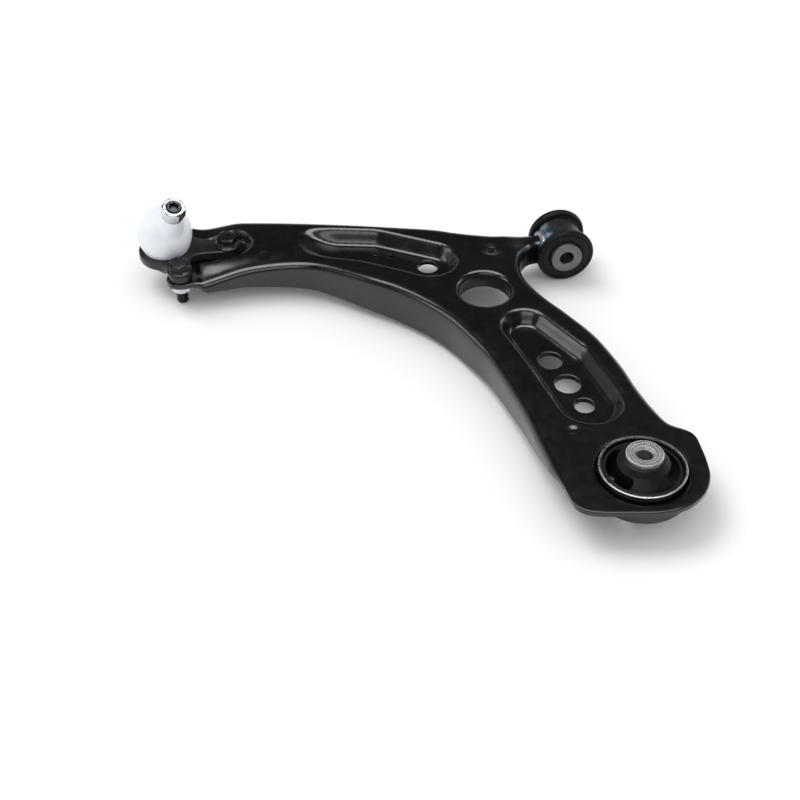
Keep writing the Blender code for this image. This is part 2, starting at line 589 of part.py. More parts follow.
def leaning_skin(stations, foot, reach, wall, segments):
    """A thin skin from a level foot ring round the ball's centre to a ring square to the stud.
    stations are (radius, share), share running from 0 at the foot to 1 at reach up the stud."""
    bm = bmesh.new()
    cx, cy, cz = BALL
    stud = stud_frame()

    def ring(radius, share):
        level = Matrix.Translation((cx, cy, foot + share * (reach + cz - foot)))
        leaning = stud @ Matrix.Translation((0, 0, reach * (0.25 + 0.75 * share)))
        made = []
        for k in range(segments):
            a = 2 * math.pi * k / segments
            p = Vector((radius * math.cos(a), radius * math.sin(a), 0))
            made.append(bm.verts.new((level @ p).lerp(leaning @ p, float(smooth(share)))))
        return made

    outer = [ring(r, s) for r, s in stations]
    inner = [ring(r - wall, s) for r, s in reversed(stations)]
    loops = outer + inner
    for a, b in zip(loops, loops[1:] + loops[:1]):
        for k in range(segments):
            n = (k + 1) % segments
            bm.faces.new((a[k], a[n], b[n], b[k]))
    return bm


def cap_mesh():
    """The cap: a thin dome on the plate, with its opening round the stud. It is a ball above its
    widest ring, and below it an ellipse that comes in to the foot."""
    wall, segments = 0.0012, 32
    middle = Vector(CAP_CENTRE)
    stud = stud_frame()
    foot_z = PLATE_Z[1] + GAP
    # the opening's centre is where the stud's axis leaves the dome
    axis = stud.to_3x3() @ Vector((0, 0, 1))
    start = Vector(BALL) - middle
    b = start.dot(axis)
    reach = -b + math.sqrt(b * b - start.length_squared + CAP_R**2)
    pole = (start + axis * reach).normalized()
    opening = math.asin(CAP_OPENING_R / CAP_R)
    low = -math.acos(CAP_FOOT_R / CAP_R)
    drop = (middle.z - foot_z) / -math.sin(low) / CAP_R
    bm = bmesh.new()

    def ring(radius, share):
        turn = pole.to_track_quat("Z", "Y")
        made = []
        for k in range(segments):
            a = 2 * math.pi * k / segments
            near = turn @ Vector((math.sin(opening) * math.cos(a), math.sin(opening) * math.sin(a),
                                  math.cos(opening)))
            far_heading = Vector((near.x - pole.x, near.y - pole.y, 0)).normalized()
            far = far_heading * math.cos(low) + Vector((0, 0, math.sin(low)))
            place = near.slerp(far, share) * radius
            if place.z < 0:
                place.z *= drop * CAP_R / radius
            made.append(bm.verts.new(middle + place))
        return made

    shares = (0.0, 0.16, 0.33, 0.50, 0.67, 0.84, 1.0)
    loops = [ring(CAP_R, s) for s in shares] + [ring(CAP_R - wall, s) for s in reversed(shares)]
    for a, b in zip(loops, loops[1:] + loops[:1]):
        for k in range(segments):
            n = (k + 1) % segments
            bm.faces.new((a[k], a[n], b[n], b[k]))
    return bm


# --- the joint's fasteners --------------------------------------------------------------------
def bolt_mesh():
    """A flange bolt with its head up. z = 0 is the plate's top face."""
    head = BOLT_HEAD_TOP - PLATE_Z[1]
    tip = PLATE_Z[1]
    steps = 24
    bm = bmesh.new()
    rings = []
    for radius, z, hexed in ((BOLT_R, 0, 0), (BOLT_FLANGE_R, 0, 0), (BOLT_FLANGE_R, 0.0014, 0),
                             (BOLT_HEAD_AF, 0.0032, 1), (BOLT_HEAD_AF, head - 0.001, 1),
                             (BOLT_HEAD_AF / 2, head, 0)):
        ring = []
        for k in range(steps):
            a = 2 * math.pi * k / steps
            flat = (a + math.pi / 6) % (math.pi / 3) - math.pi / 6
            r = BOLT_HEAD_AF / 2 / math.cos(flat) if hexed else radius
            ring.append(bm.verts.new((r * math.cos(a), r * math.sin(a), z)))
        rings.append(ring)
    for radius, z in ((BOLT_R - 0.001, -tip), (BOLT_R, -tip + 0.001)):
        rings.append([bm.verts.new((radius * math.cos(2 * math.pi * k / steps),
                                    radius * math.sin(2 * math.pi * k / steps), z)) for k in range(steps)])
    body, ends = rings[:6], rings[6:]
    bm.faces.new(body[-1])
    bm.faces.new(ends[0][::-1])
    for a, b in zip([ends[0], ends[1]] + body[:-1], [ends[1], body[0]] + body[1:]):
        for k in range(steps):
            n = (k + 1) % steps
            bm.faces.new((a[k], a[n], b[n], b[k]))
    return bm


def make_fasteners(mats):
    for k, (x, y) in enumerate(BOLTS):
        seat = Matrix.Translation((x, y, PLATE_Z[1] + GAP))
        add_object(f"flange_bolt_{k + 1}", bolt_mesh(), mats["black_steel"], seat)
        height = 0.0070
        below = Matrix.Translation((x, y, PAD_Z - SHEET - GAP - height))
        add_object(f"flange_nut_{k + 1}", nut_mesh(NUT_AF, height, BOLT_R + GAP), mats["zinc"], below)


def pivot(name, matrix):
    empty = bpy.data.objects.new(name, None)
    bpy.context.scene.collection.objects.link(empty)
    empty.matrix_world = matrix
    return empty


def build():
    for obj in list(bpy.data.objects):
        bpy.data.objects.remove(obj)
    mats = {
        "paint": material("black_coat", (0.012, 0.012, 0.013), 0.32, 0.0),
        "forged": material("forged_black", (0.02, 0.02, 0.021), 0.45, 0.2),
        "black_steel": material("black_steel", (0.03, 0.03, 0.03), 0.4, 0.6),
        "rubber": material("rubber", (0.015, 0.015, 0.015), 0.7, 0.0),
        "steel": material("steel", (0.55, 0.55, 0.56), 0.3, 1.0),
        "bright_steel": material("bright_steel", (0.7, 0.7, 0.71), 0.3, 1.0),
        "dull_steel": material("dull_steel", (0.3, 0.3, 0.31), 0.5, 1.0),
        "stud": material("stud_steel", (0.1, 0.1, 0.11), 0.4, 1.0),
        "zinc": material("zinc_plate", (0.75, 0.76, 0.78), 0.3, 1.0),
        "nylon": material("nylon", (0.6, 0.58, 0.5), 0.5, 0.0),
        "cap": material("cap_plastic", (0.85, 0.88, 0.92), 0.35, 0.0),
    }
    front = pivot("front_bush_axis", along_y(FRONT_BUSH[0], sum(FRONT_SLEEVE_Y) / 2, FRONT_BUSH[1]))
    rear = pivot("rear_bush_axis", Matrix.Translation((*REAR_BUSH, 0.026)))
    swing = pivot("ball_swing", stud_frame())
    spin = pivot("ball_spin", stud_frame())
    spin.parent = swing
    bpy.context.view_layer.update()
    spin.matrix_world = stud_frame()
    bpy.context.view_layer.update()
    make_arm(mats["paint"])
    make_front_bush(mats, front)
    make_rear_bush(mats, rear)
    make_ball_joint(mats, swing, spin)
    make_fasteners(mats)


build()
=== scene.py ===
"""Looks of the pressed control arm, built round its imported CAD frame. Units are metres.

+Z is up, +X points inboard to the bushes and +Y to the front of the car. Names ending in _R are radii.
"""

import json
import math

import bmesh
import bpy
import numpy as np
from mathutils import Matrix, Vector
from mathutils.geometry import delaunay_2d_cdt


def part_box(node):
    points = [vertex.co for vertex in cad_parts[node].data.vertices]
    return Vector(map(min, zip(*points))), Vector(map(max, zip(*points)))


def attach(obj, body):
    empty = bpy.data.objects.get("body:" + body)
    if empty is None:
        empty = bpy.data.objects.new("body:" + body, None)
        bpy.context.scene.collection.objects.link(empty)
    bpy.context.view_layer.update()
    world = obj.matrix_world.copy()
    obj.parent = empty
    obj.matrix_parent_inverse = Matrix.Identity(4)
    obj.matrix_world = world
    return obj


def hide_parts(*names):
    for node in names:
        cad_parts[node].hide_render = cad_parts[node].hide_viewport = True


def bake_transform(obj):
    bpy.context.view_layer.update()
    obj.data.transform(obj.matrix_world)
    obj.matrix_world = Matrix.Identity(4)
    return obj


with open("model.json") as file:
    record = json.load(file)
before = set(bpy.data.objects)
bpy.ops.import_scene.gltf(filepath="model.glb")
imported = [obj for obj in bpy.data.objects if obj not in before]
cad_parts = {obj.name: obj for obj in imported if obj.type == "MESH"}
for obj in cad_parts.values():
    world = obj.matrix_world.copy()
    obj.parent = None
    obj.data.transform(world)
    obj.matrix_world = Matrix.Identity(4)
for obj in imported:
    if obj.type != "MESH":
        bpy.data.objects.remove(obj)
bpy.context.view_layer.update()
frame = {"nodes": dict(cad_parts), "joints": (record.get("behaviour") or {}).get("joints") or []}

GAP = 0.0003  # air between pieces that touch
SHEET = 0.004  # thickness of the pressed sheet
CROWN_Z = 0.040  # highest level of the arm's top face
PAD_Z = 0.024  # level of the ball joint's pad
EDGE_BEND_R = 0.005  # bend between the top face and the flanges
EDGE_SOFTENING = 0.0025  # how much wider the shown roll of a flange is than the CAD's bend
CUT_EDGE_R = 0.001  # rounding of an edge that has no flange
ARM_SPACING = 0.0020  # between the points of the arm's mesh
BOLT_HOLE_R = 0.0056
BORE_R = 0.0061  # of both bushes' inner sleeves, and of the stud's nut


def middle(node):
    low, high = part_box(node)
    return (low + high) / 2


def size(node):
    low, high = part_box(node)
    return high - low


# the studio: (height of the direction, brightness) of the sky, the lamps, and the softboxes as
# (name, place, aim, brightness, width, height)
SKY = [(0.0, 0.98), (0.10, 0.62), (0.30, 0.16), (0.48, 0.03), (0.80, 0.03), (1.0, 0.10)]
DOME_SUN = 2.35
KEY_SUN = 1.15
SOFTBOXES = [
    ("top_softbox", (0.0, 0.06, 1.30), (0.0, 0.06, 0.03), 6.0, 1.5, 0.72),
    ("front_softbox", (-0.30, -1.05, 1.10), (0.0, 0.0, 0.03), 2.6, 1.3, 0.5),
    ("left_softbox", (-1.30, 0.20, 0.75), (-0.05, 0.05, 0.03), 3.0, 0.8, 0.5),
    ("right_softbox", (1.20, 0.45, 0.60), (0.05, 0.0, 0.03), 2.5, 0.7, 0.4),
]

# --- places read from the frame ---------------------------------------------------------------
REAR = middle("rear_bush_inner_sleeve")
FRONT = middle("front_bush_inner_sleeve")
BOLT_PLACES = [middle(f"flange_bolt_{k}") for k in (1, 2, 3)]
SWING = next(j for j in frame["joints"] if j["name"] == "ball_swing_along")
SPIN = next(j for j in frame["joints"] if j["name"] == "stud_spin")
BALL = Vector(SWING["pos_m"])
STUD_AXIS = Vector(SPIN["axis"])
STUD = Matrix.Translation(BALL) @ STUD_AXIS.to_track_quat("Z", "Y").to_matrix().to_4x4()
PLATE_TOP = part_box("ball_joint_housing")[1].z
CAP_FOOT_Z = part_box("protective_cap")[0].z
NECK_R = 0.0092  # the cap's neck under the stud's nut

# --- the sheet's shape, as in the CAD: (x, y, depth of the edge), anticlockwise -----------------
OUTLINE = [
    (-0.1775, 0.1380, 0.004), (-0.1742, 0.1305, 0.004), (-0.1665, 0.1275, 0.004),
    (-0.1570, 0.1290, 0.005), (-0.1480, 0.1305, 0.009), (-0.1300, 0.1325, 0.013),
    (-0.1120, 0.1345, 0.017), (-0.0900, 0.1335, 0.021), (-0.0680, 0.1300, 0.024),
    (-0.0500, 0.1235, 0.026), (-0.0300, 0.1100, 0.029), (-0.0080, 0.0920, 0.032),
    (0.0140, 0.0745, 0.034), (0.0350, 0.0525, 0.034), (0.0500, 0.0310, 0.034),
    (0.0620, 0.0050, 0.032), (0.0730, -0.0250, 0.029), (0.0805, -0.0600, 0.026),
    (0.0855, -0.0920, 0.022), (0.0880, -0.1200, 0.017), (0.0900, -0.1450, 0.011),
    (0.0905, -0.1700, 0.006), (0.0918, -0.1880, 0.004), (0.0955, -0.1985, 0.004),
    (0.1060, -0.2045, 0.004), (0.1289, -0.2089, 0.004), (0.1518, -0.2122, 0.004),
    (0.1705, -0.2092, 0.004), (0.1862, -0.1985, 0.004), (0.1948, -0.1845, 0.004),
    (0.1978, -0.1700, 0.004), (0.1988, -0.1560, 0.004), (0.1988, -0.1420, 0.004),
    (0.1945, -0.1342, 0.007),
    (0.1825, -0.1240, 0.012), (0.1755, -0.1060, 0.017), (0.1695, -0.0800, 0.020),
    (0.1655, -0.0527, 0.022), (0.1560, -0.0160, 0.023), (0.1425, 0.0130, 0.024),
    (0.1275, 0.0400, 0.024), (0.1180, 0.0640, 0.024), (0.1160, 0.0840, 0.024),
    (0.1195, 0.1000, 0.022), (0.1270, 0.1115, 0.020), (0.1350, 0.1196, 0.020),
    (0.1435, 0.1230, 0.020), (0.1530, 0.1236, 0.020), (0.1680, 0.1238, 0.020),
    (0.1680, 0.1330, 0.020), (0.1530, 0.1330, 0.020), (0.1390, 0.1322, 0.020),
    (0.1240, 0.1300, 0.020),
    (0.1080, 0.1305, 0.020), (0.0900, 0.1360, 0.020), (0.0730, 0.1425, 0.020),
    (0.0544, 0.1505, 0.020), (0.0120, 0.1625, 0.020), (-0.0390, 0.1775, 0.020),
    (-0.0944, 0.1945, 0.017), (-0.1200, 0.2020, 0.013), (-0.1400, 0.2075, 0.009),
    (-0.1510, 0.2118, 0.006), (-0.1600, 0.2170, 0.004), (-0.1695, 0.2168, 0.004),
    (-0.1750, 0.2095, 0.004), (-0.1725, 0.2000, 0.004), (-0.1640, 0.1920, 0.004),
    (-0.1560, 0.1840, 0.004), (-0.1522, 0.1745, 0.004), (-0.1545, 0.1650, 0.004),
    (-0.1610, 0.1570, 0.004), (-0.1700, 0.1500, 0.004), (-0.1755, 0.1455, 0.004),
]
PLATE_SIDES = [
    (-0.1783, 0.1465), (-0.1764, 0.1400), (-0.1748, 0.1332), (-0.1708, 0.1290), (-0.1655, 0.1280),
    (-0.1603, 0.1298), (-0.1572, 0.1345), (-0.1563, 0.1410), (-0.1566, 0.1480), (-0.1555, 0.1545),
    (-0.1515, 0.1593), (-0.1440, 0.1605), (-0.1340, 0.1600), (-0.1226, 0.1597), (-0.1155, 0.1627),
    (-0.1127, 0.1697), (-0.1155, 0.1767), (-0.1226, 0.1797), (-0.1340, 0.1812), (-0.1440, 0.1828),
    (-0.1505, 0.1870), (-0.1530, 0.1930), (-0.1545, 0.1990), (-0.1548, 0.2060), (-0.1572, 0.2132),
    (-0.1637, 0.2170), (-0.1704, 0.2153), (-0.1742, 0.2100), (-0.1762, 0.2042), (-0.1795, 0.2010),
]
PLATE_R = 0.0255
OUTER_POCKET = [(-0.048, 0.1545, 0.020), (0.000, 0.1370, 0.025), (0.046, 0.1080, 0.026)]
REAR_POCKET = [(0.106, 0.006, 0.022), (0.123, -0.038, 0.028), (0.1335, -0.0885, 0.028)]
JOINT_RECESS = [(-0.150, 0.1722, 0.025), (-0.121, 0.1712, 0.021)]
OUTER_POCKET_DEPTH = 0.0125
REAR_POCKET_DEPTH = 0.011
POCKET_RUN = 0.011
RIDGE_END_X = -0.1475  # where the near ridge beside the ball joint stops
FAR_RAMP_X = -0.108  # where the far ridge starts to slope down to the pad
FAR_RAMP_RUN = 0.0455
NECK_FALL = 0.005  # how far the top face falls towards the front bush
SLEEVE_R = size("rear_bush_outer_sleeve").x / 2
# (x, y, radius, bend radius, depth)
HOLES = [
    (0.0840, 0.0590, 0.0214, 0.005, 0.015),
    (REAR.x, REAR.y, SLEEVE_R + GAP, 0.0042, 0.018),
    (0.1186, -0.0273, 0.0100, 0.001, SHEET), (0.1251, -0.0569, 0.0104, 0.001, SHEET),
    (0.1314, -0.0832, 0.0080, 0.001, SHEET), (0.0456, 0.1131, 0.0087, 0.001, SHEET),
    (0.0029, 0.1358, 0.0024, 0.0004, SHEET), (0.0164, 0.1339, 0.0024, 0.0004, SHEET),
    (0.1014, 0.1124, 0.0042, 0.0008, SHEET),
] + [(p.x, p.y, BOLT_HOLE_R, 0.0005, SHEET) for p in BOLT_PLACES]
# shallow round dimples as (x, y, radius, depth)
DIMPLES = [
    (0.1014, 0.1124, 0.0100, 0.0012), (-0.0926, 0.1457, 0.0065, 0.0010),
    (0.1119, -0.1194, 0.0050, 0.0010),
]


# --- materials --------------------------------------------------------------------------------
# where the tint on the eye tube is full, and where it ends, outboard of the tube's axis
TINT_FULL = 0.0145
TINT_END = 0.0085


class Look:
    """A Principled material whose colour, roughness and bump come from nodes."""

    def __init__(self, name, **fixed):
        self.material = bpy.data.materials.new(name)
        self.material.use_nodes = True
        self.tree = self.material.node_tree
        self.shader = self.tree.nodes["Principled BSDF"]
        for socket, value in fixed.items():
            self.shader.inputs[socket.replace("_", " ")].default_value = value
        self.place = self.node("ShaderNodeTexCoord").outputs["Object"]

    def node(self, kind, **settings):
        made = self.tree.nodes.new(kind)
        for key, value in settings.items():
            setattr(made, key, value)
        return made

    def link(self, source, target):
        self.tree.links.new(source, target)

    def noise(self, scale, detail=4.0, rough=0.55):
        """Noise from 0 to 1, scale in cells per metre."""
        made = self.node("ShaderNodeTexNoise")
        made.inputs["Scale"].default_value = scale
        made.inputs["Detail"].default_value = detail
        made.inputs["Roughness"].default_value = rough
        self.link(self.place, made.inputs["Vector"])
        return made.outputs["Fac"]

    def ramp(self, source, stops):
        """Maps source through (position, value or colour) stops."""
        made = self.node("ShaderNodeValToRGB")
        elements = made.color_ramp.elements
        while len(elements) < len(stops):
            elements.new(0.5)
        for element, (position, value) in zip(elements, stops):
            element.position = position
            element.color = (*value, 1) if isinstance(value, tuple) else (value, value, value, 1)
        self.link(source, made.inputs["Fac"])
        return made.outputs["Color"]

    def color(self, source, stops):
        self.link(self.ramp(source, stops), self.shader.inputs["Base Color"])

    def mix(self, factor, a, b):
        """Mixes the colours of sockets a and b. factor is a number or a socket."""
        made = self.node("ShaderNodeMix", data_type="RGBA")
        if isinstance(factor, float):
            made.inputs[0].default_value = factor
        else:
            self.link(factor, made.inputs[0])
        self.link(a, made.inputs[6])
        self.link(b, made.inputs[7])
        return made.outputs[2]

    def roughness(self, source, low, high):
        self.link(self.ramp(source, [(0.3, low), (0.7, high)]), self.shader.inputs["Roughness"])

    def bump(self, *layers):
        """Stacks (height, distance in metres) layers."""
        normal = None
        for height, distance in layers:
            made = self.node("ShaderNodeBump")
            made.inputs["Distance"].default_value = distance
            self.link(height, made.inputs["Height"])
            if normal is not None:
                self.link(normal, made.inputs["Normal"])
            normal = made.outputs["Normal"]
        self.link(normal, self.shader.inputs["Normal"])


def coated_sheet():
    """Black electrocoat on pressed steel: smooth, a little wavy, uneven in gloss."""
    look = Look("black_coat", Metallic=0.0, Coat_Weight=0.35, Coat_Roughness=0.14)
    fine, broad = look.noise(1100, 6), look.noise(38, 5)
    look.color(broad, [(0.25, (0.0022, 0.0023, 0.0027)), (0.75, (0.0050, 0.0052, 0.0060))])
    look.roughness(look.noise(90, 6, 0.6), 0.20, 0.29)
    look.bump((fine, 0.000006), (look.noise(28, 2), 0.00025))
    return look.material


def heat_tinted_weld():
    """The bead's steel, blued and browned by the weld's heat."""
    look = Look("heat_tint", Metallic=0.75)
    look.color(look.noise(95, 3, 0.5), [
        (0.30, (0.05, 0.055, 0.06)), (0.44, (0.09, 0.22, 0.34)),
        (0.56, (0.40, 0.43, 0.47)), (0.70, (0.30, 0.18, 0.11)),
    ])
    look.roughness(look.noise(500, 5), 0.28, 0.5)
    look.bump((look.noise(700, 5, 0.7), 0.0001))
    return look.material


def tube_coat():
    """The eye tube's thin coat: greyer than the arm's, blued and browned beside the weld."""
    look = Look("tube_coat", Metallic=0.55, Coat_Weight=0.15, Coat_Roughness=0.3)
    split = look.node("ShaderNodeSeparateXYZ")
    look.link(look.place, split.inputs[0])
    near = look.node("ShaderNodeMapRange", interpolation_type="SMOOTHSTEP")
    look.link(split.outputs["X"], near.inputs["Value"])
    near.inputs["From Min"].default_value = FRONT.x - TINT_FULL
    near.inputs["From Max"].default_value = FRONT.x - TINT_END
    near.inputs["To Min"].default_value = 1.0
    near.inputs["To Max"].default_value = 0.0
    plain = look.ramp(look.noise(260, 8, 0.7), [
        (0.3, (0.012, 0.013, 0.015)), (0.75, (0.050, 0.053, 0.060)),
    ])
    tint = look.ramp(look.noise(120, 3, 0.5), [
        (0.32, (0.05, 0.055, 0.06)), (0.46, (0.10, 0.24, 0.36)),
        (0.56, (0.42, 0.46, 0.50)), (0.68, (0.30, 0.18, 0.11)),
    ])
    look.link(look.mix(near.outputs["Result"], plain, tint), look.shader.inputs["Base Color"])
    look.roughness(look.noise(300, 6), 0.34, 0.52)
    look.bump((look.noise(900, 6, 0.7), 0.00006))
    return look.material


def forged_steel():
    look = Look("forged_coat", Metallic=0.25, Coat_Weight=0.2, Coat_Roughness=0.25)
    look.color(look.noise(180, 8, 0.7), [(0.3, (0.006, 0.006, 0.0065)), (0.75, (0.018, 0.018, 0.020))])
    look.roughness(look.noise(260, 6), 0.30, 0.50)
    look.bump((look.noise(520, 8, 0.7), 0.00012), (look.noise(130, 4), 0.0002))
    return look.material


def black_bolt():
    look = Look("black_bolt", Metallic=0.7)
    look.color(look.noise(420, 6), [(0.3, (0.010, 0.010, 0.011)), (0.75, (0.035, 0.035, 0.038))])
    look.roughness(look.noise(700, 4), 0.22, 0.40)
    look.bump((look.noise(1400, 5), 0.00004))
    return look.material


def bush_rubber():
    look = Look("bush_rubber", Specular_IOR_Level=0.22)
    look.color(look.noise(90, 8, 0.7), [(0.3, (0.0025, 0.0025, 0.003)), (0.8, (0.006, 0.006, 0.007))])
    look.roughness(look.noise(300, 6), 0.34, 0.56)
    look.bump((look.noise(1500, 6, 0.7), 0.00008))
    return look.material


def machined(name, dark, light, smoothest, roughest):
    """Turned or plain steel, with fine marks."""
    look = Look(name, Metallic=1.0)
    marks = look.noise(600, 5, 0.6)
    look.color(look.mix(0.5, look.noise(70, 6), marks), [(0.3, dark), (0.7, light)])
    look.roughness(look.noise(240, 6), smoothest, roughest)
    look.bump((marks, 0.00005))
    return look.material


def cap_plastic():
    look = Look("cap_plastic", Roughness=0.33, Subsurface_Weight=0.25, Subsurface_Scale=0.004,
                Coat_Weight=0.15, Coat_Roughness=0.12, IOR=1.5)
    look.shader.inputs["Subsurface Radius"].default_value = (1.0, 1.0, 1.0)
    look.color(look.noise(30, 3), [(0.3, (0.82, 0.86, 0.93)), (0.7, (0.88, 0.91, 0.96))])
    look.bump((look.noise(55, 2), 0.0003), (look.noise(700, 3), 0.00003))
    return look.material


LOOKS = {}


def make_looks():
    LOOKS.update(
        coated_sheet=coated_sheet(),
        tube_coat=tube_coat(),
        heat_tint=heat_tinted_weld(),
        forged_steel=forged_steel(),
        black_bolt=black_bolt(),
        bush_rubber=bush_rubber(),
        plain_steel=machined("plain_steel", (0.42, 0.42, 0.43), (0.66, 0.66, 0.67), 0.22, 0.4),
        bright_steel=machined("bright_steel", (0.46, 0.46, 0.47), (0.72, 0.72, 0.73), 0.34, 0.5),
        dull_steel=machined("dull_steel", (0.13, 0.13, 0.125), (0.24, 0.24, 0.235), 0.42, 0.6),
        stud_steel=machined("stud_steel", (0.04, 0.045, 0.05), (0.11, 0.12, 0.13), 0.28, 0.45),
        zinc_plate=machined("zinc_plate", (0.55, 0.58, 0.62), (0.80, 0.82, 0.85), 0.16, 0.30),
        cap_plastic=cap_plastic(),
    )
    LOOKS["boot_rubber"] = LOOKS["bush_rubber"]


# --- mesh helpers -----------------------------------------------------------------------------
def smooth(t):
    t = np.clip(t, 0.0, 1.0)
    return t * t * (3 - 2 * t)


def add_piece(name, bm, slot, body, replaces=(), matrix=None, sharp=40.0, look=None):
    """A shown piece made from bm: placed, finished, riding on its body. look is for a piece whose
    material isn't its slot's."""
    if matrix is not None:
        bm.transform(matrix)
    bmesh.ops.recalc_face_normals(bm, faces=bm.faces)
    mesh = bpy.data.meshes.new(name)
    bm.to_mesh(mesh)
    bm.free()
    mesh.shade_smooth()
    mesh.set_sharp_from_angle(angle=math.radians(sharp))
    mesh.materials.append(LOOKS[look or slot])
    obj = bpy.data.objects.new(name, mesh)
    bpy.context.scene.collection.objects.link(obj)
    if body:
        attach(obj, body)
    if replaces:
        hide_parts(*replaces)
    return obj


def join_rings(bm, rings, closed=True):
    pairs = zip(rings, rings[1:] + rings[:1]) if closed else zip(rings, rings[1:])
    for a, b in pairs:
        count = max(len(a), len(b))
        if count == 1:
            continue
        for k in range(count):
            n = (k + 1) % count
            corners = [a[k % len(a)], a[n % len(a)], b[n % len(b)], b[k % len(b)]]
            bm.faces.new(list(dict.fromkeys(corners)))


def add_ring(bm, segments, radius, z, shape=None):
    """A ring of points about Z. shape(angle, radius, z) may return a changed (radius, z)."""
    ring = []
    for k in range(segments):
        a = 2 * math.pi * k / segments
        r, h = shape(a, radius, z) if shape else (radius, z)
        ring.append(bm.verts.new((r * math.cos(a), r * math.sin(a), h)))
    return ring


def turned(profile, segments, shape=None):
    """A solid of revolution about Z from a closed list of (radius, z)."""
    bm = bmesh.new()
    rings = []
    for radius, z in profile:
        if radius == 0:
            rings.append([bm.verts.new((0, 0, z))])
        else:
            rings.append(add_ring(bm, segments, radius, z, shape))
    join_rings(bm, rings)
    return bm


def rounded(points, radii, steps=4):
    """A closed profile whose corners are rounded. radii holds one radius per corner."""
    made = []
    count = len(points)
    for k in range(count):
        before, here, after = (Vector(points[(k + j) % count]) for j in (-1, 0, 1))
        radius = radii[k] if isinstance(radii, (list, tuple)) else radii
        if radius <= 0 or here.x == 0:
            made.append(tuple(here))
            continue
        u, v = (before - here), (after - here)
        turn = u.angle(v)
        cut = min(radius / math.tan(turn / 2), 0.45 * u.length, 0.45 * v.length)
        u, v = u.normalized() * cut, v.normalized() * cut
        for j in range(steps + 1):
            t = j / steps
            made.append(tuple(here + u * (1 - t) ** 2 + v * t**2))
    return made


def ring_section(inner, outer, low, high):
    """The section of a plain ring, as a closed list of (radius, z)."""
    return [(inner, low), (outer, low), (outer, high), (inner, high)]


def circle(cx, cy, radius, segments):
    return [(cx + radius * math.cos(2 * math.pi * k / segments),
             cy + radius * math.sin(2 * math.pi * k / segments)) for k in range(segments)]


def along_y(x, y, z):
    """A frame at (x, y, z) whose own Z runs along -Y."""
    return Matrix.Translation((x, y, z)) @ Matrix.Rotation(math.radians(90), 4, "X")


def apply_boolean(obj, bm, operation="DIFFERENCE", matrix=None):
    """Cuts or joins obj with the solid bm, and applies it."""
    mesh = bpy.data.meshes.new("tool")
    bmesh.ops.recalc_face_normals(bm, faces=bm.faces)
    bm.to_mesh(mesh)
    bm.free()
    tool = bpy.data.objects.new("tool", mesh)
    bpy.context.scene.collection.objects.link(tool)
    if matrix is not None:
        tool.matrix_world = matrix
    mod = obj.modifiers.new("cut", "BOOLEAN")
    mod.operation = operation
    mod.solver = "EXACT"
    mod.object = tool
    apply_modifiers(obj)
    bpy.data.objects.remove(tool)
    bpy.data.meshes.remove(mesh)


def apply_modifiers(obj):
    bpy.context.view_layer.update()
    graph = bpy.context.evaluated_depsgraph_get()
    made = bpy.data.meshes.new_from_object(obj.evaluated_get(graph))
    obj.modifiers.clear()
    old = obj.data
    obj.data = made
    bpy.data.meshes.remove(old)


# --- the pressed arm --------------------------------------------------------------------------
def smooth_outline(points, step):
    """A closed Catmull-Rom curve through points, sampled about every step metres."""
    p = np.array(points, float)
    count = len(p)
    samples = []
    for k in range(count):
        a, b, c, d = (p[(k + j) % count] for j in (-1, 0, 1, 2))
        pieces = max(1, round(float(np.linalg.norm((c - b)[:2])) / step))
        for t in np.arange(pieces) / pieces:
            samples.append(0.5 * (2 * b + (c - a) * t + (2 * a - 5 * b + 4 * c - d) * t**2
                                  + (3 * b - a - 3 * c + d) * t**3))
    return np.array(samples)


def inside_chain(xy, chain):
    """How far each point is inside a chain of circles joined by straight sides, in metres."""
    best = np.full(len(xy), -1.0)
    for (x0, y0, r0), (x1, y1, r1) in zip(chain, chain[1:]):
        a, ab = np.array((x0, y0)), np.array((x1 - x0, y1 - y0))
        u = np.clip((xy - a) @ ab / (ab @ ab), 0, 1)
        away = np.linalg.norm(xy - a - u[:, None] * ab, axis=1)
        best = np.maximum(best, r0 + u * (r1 - r0) - away)
    return best


def top_height(xy):
    """Height of the arm's top face at each (x, y)."""
    x, y = xy[:, 0], xy[:, 1]
    outward = np.clip((0.020 - x) / 0.170, 0, 1)
    z = CROWN_Z - 0.0105 * outward**2
    z -= 0.0273 * np.clip(0.095 - y, 0, 0.220)
    z -= NECK_FALL * smooth((x - 0.112) / 0.032) * smooth((y - 0.098) / 0.022)
    near = np.clip((0.150 - y) / 0.020, 0, 1) * np.clip((0.020 - x) / 0.060, 0, 1)
    z -= (0.001 + 0.006 * outward**2) * smooth(near)
    ramp = smooth((x + 0.070) / 0.045)
    z -= OUTER_POCKET_DEPTH * ramp * smooth(inside_chain(xy, OUTER_POCKET) / POCKET_RUN)
    z -= REAR_POCKET_DEPTH * smooth(inside_chain(xy, REAR_POCKET) / POCKET_RUN)
    for cx, cy, radius, depth in DIMPLES:
        z -= depth * smooth((radius - np.hypot(x - cx, y - cy)) / (0.5 * radius))
    near_end = smooth((RIDGE_END_X - x) / 0.005)
    far_end = smooth((FAR_RAMP_X - x) / FAR_RAMP_RUN) * smooth((y - 0.178) / 0.012)
    recess = smooth(inside_chain(xy, JOINT_RECESS) / 0.006)
    pad = np.maximum(np.maximum(near_end, far_end), recess)
    return z + (PAD_Z - z) * pad


def is_inside(xy, loop):
    """Which points are inside a closed loop, by the even-odd rule."""
    inside = np.zeros(len(xy), bool)
    x, y = xy[:, 0], xy[:, 1]
    for (x0, y0), (x1, y1) in zip(loop, np.roll(loop, -1, axis=0)):
        if y0 == y1:
            continue
        crosses = (y0 > y) != (y1 > y)
        inside ^= crosses & (x < x0 + (y - y0) * (x1 - x0) / (y1 - y0))
    return inside


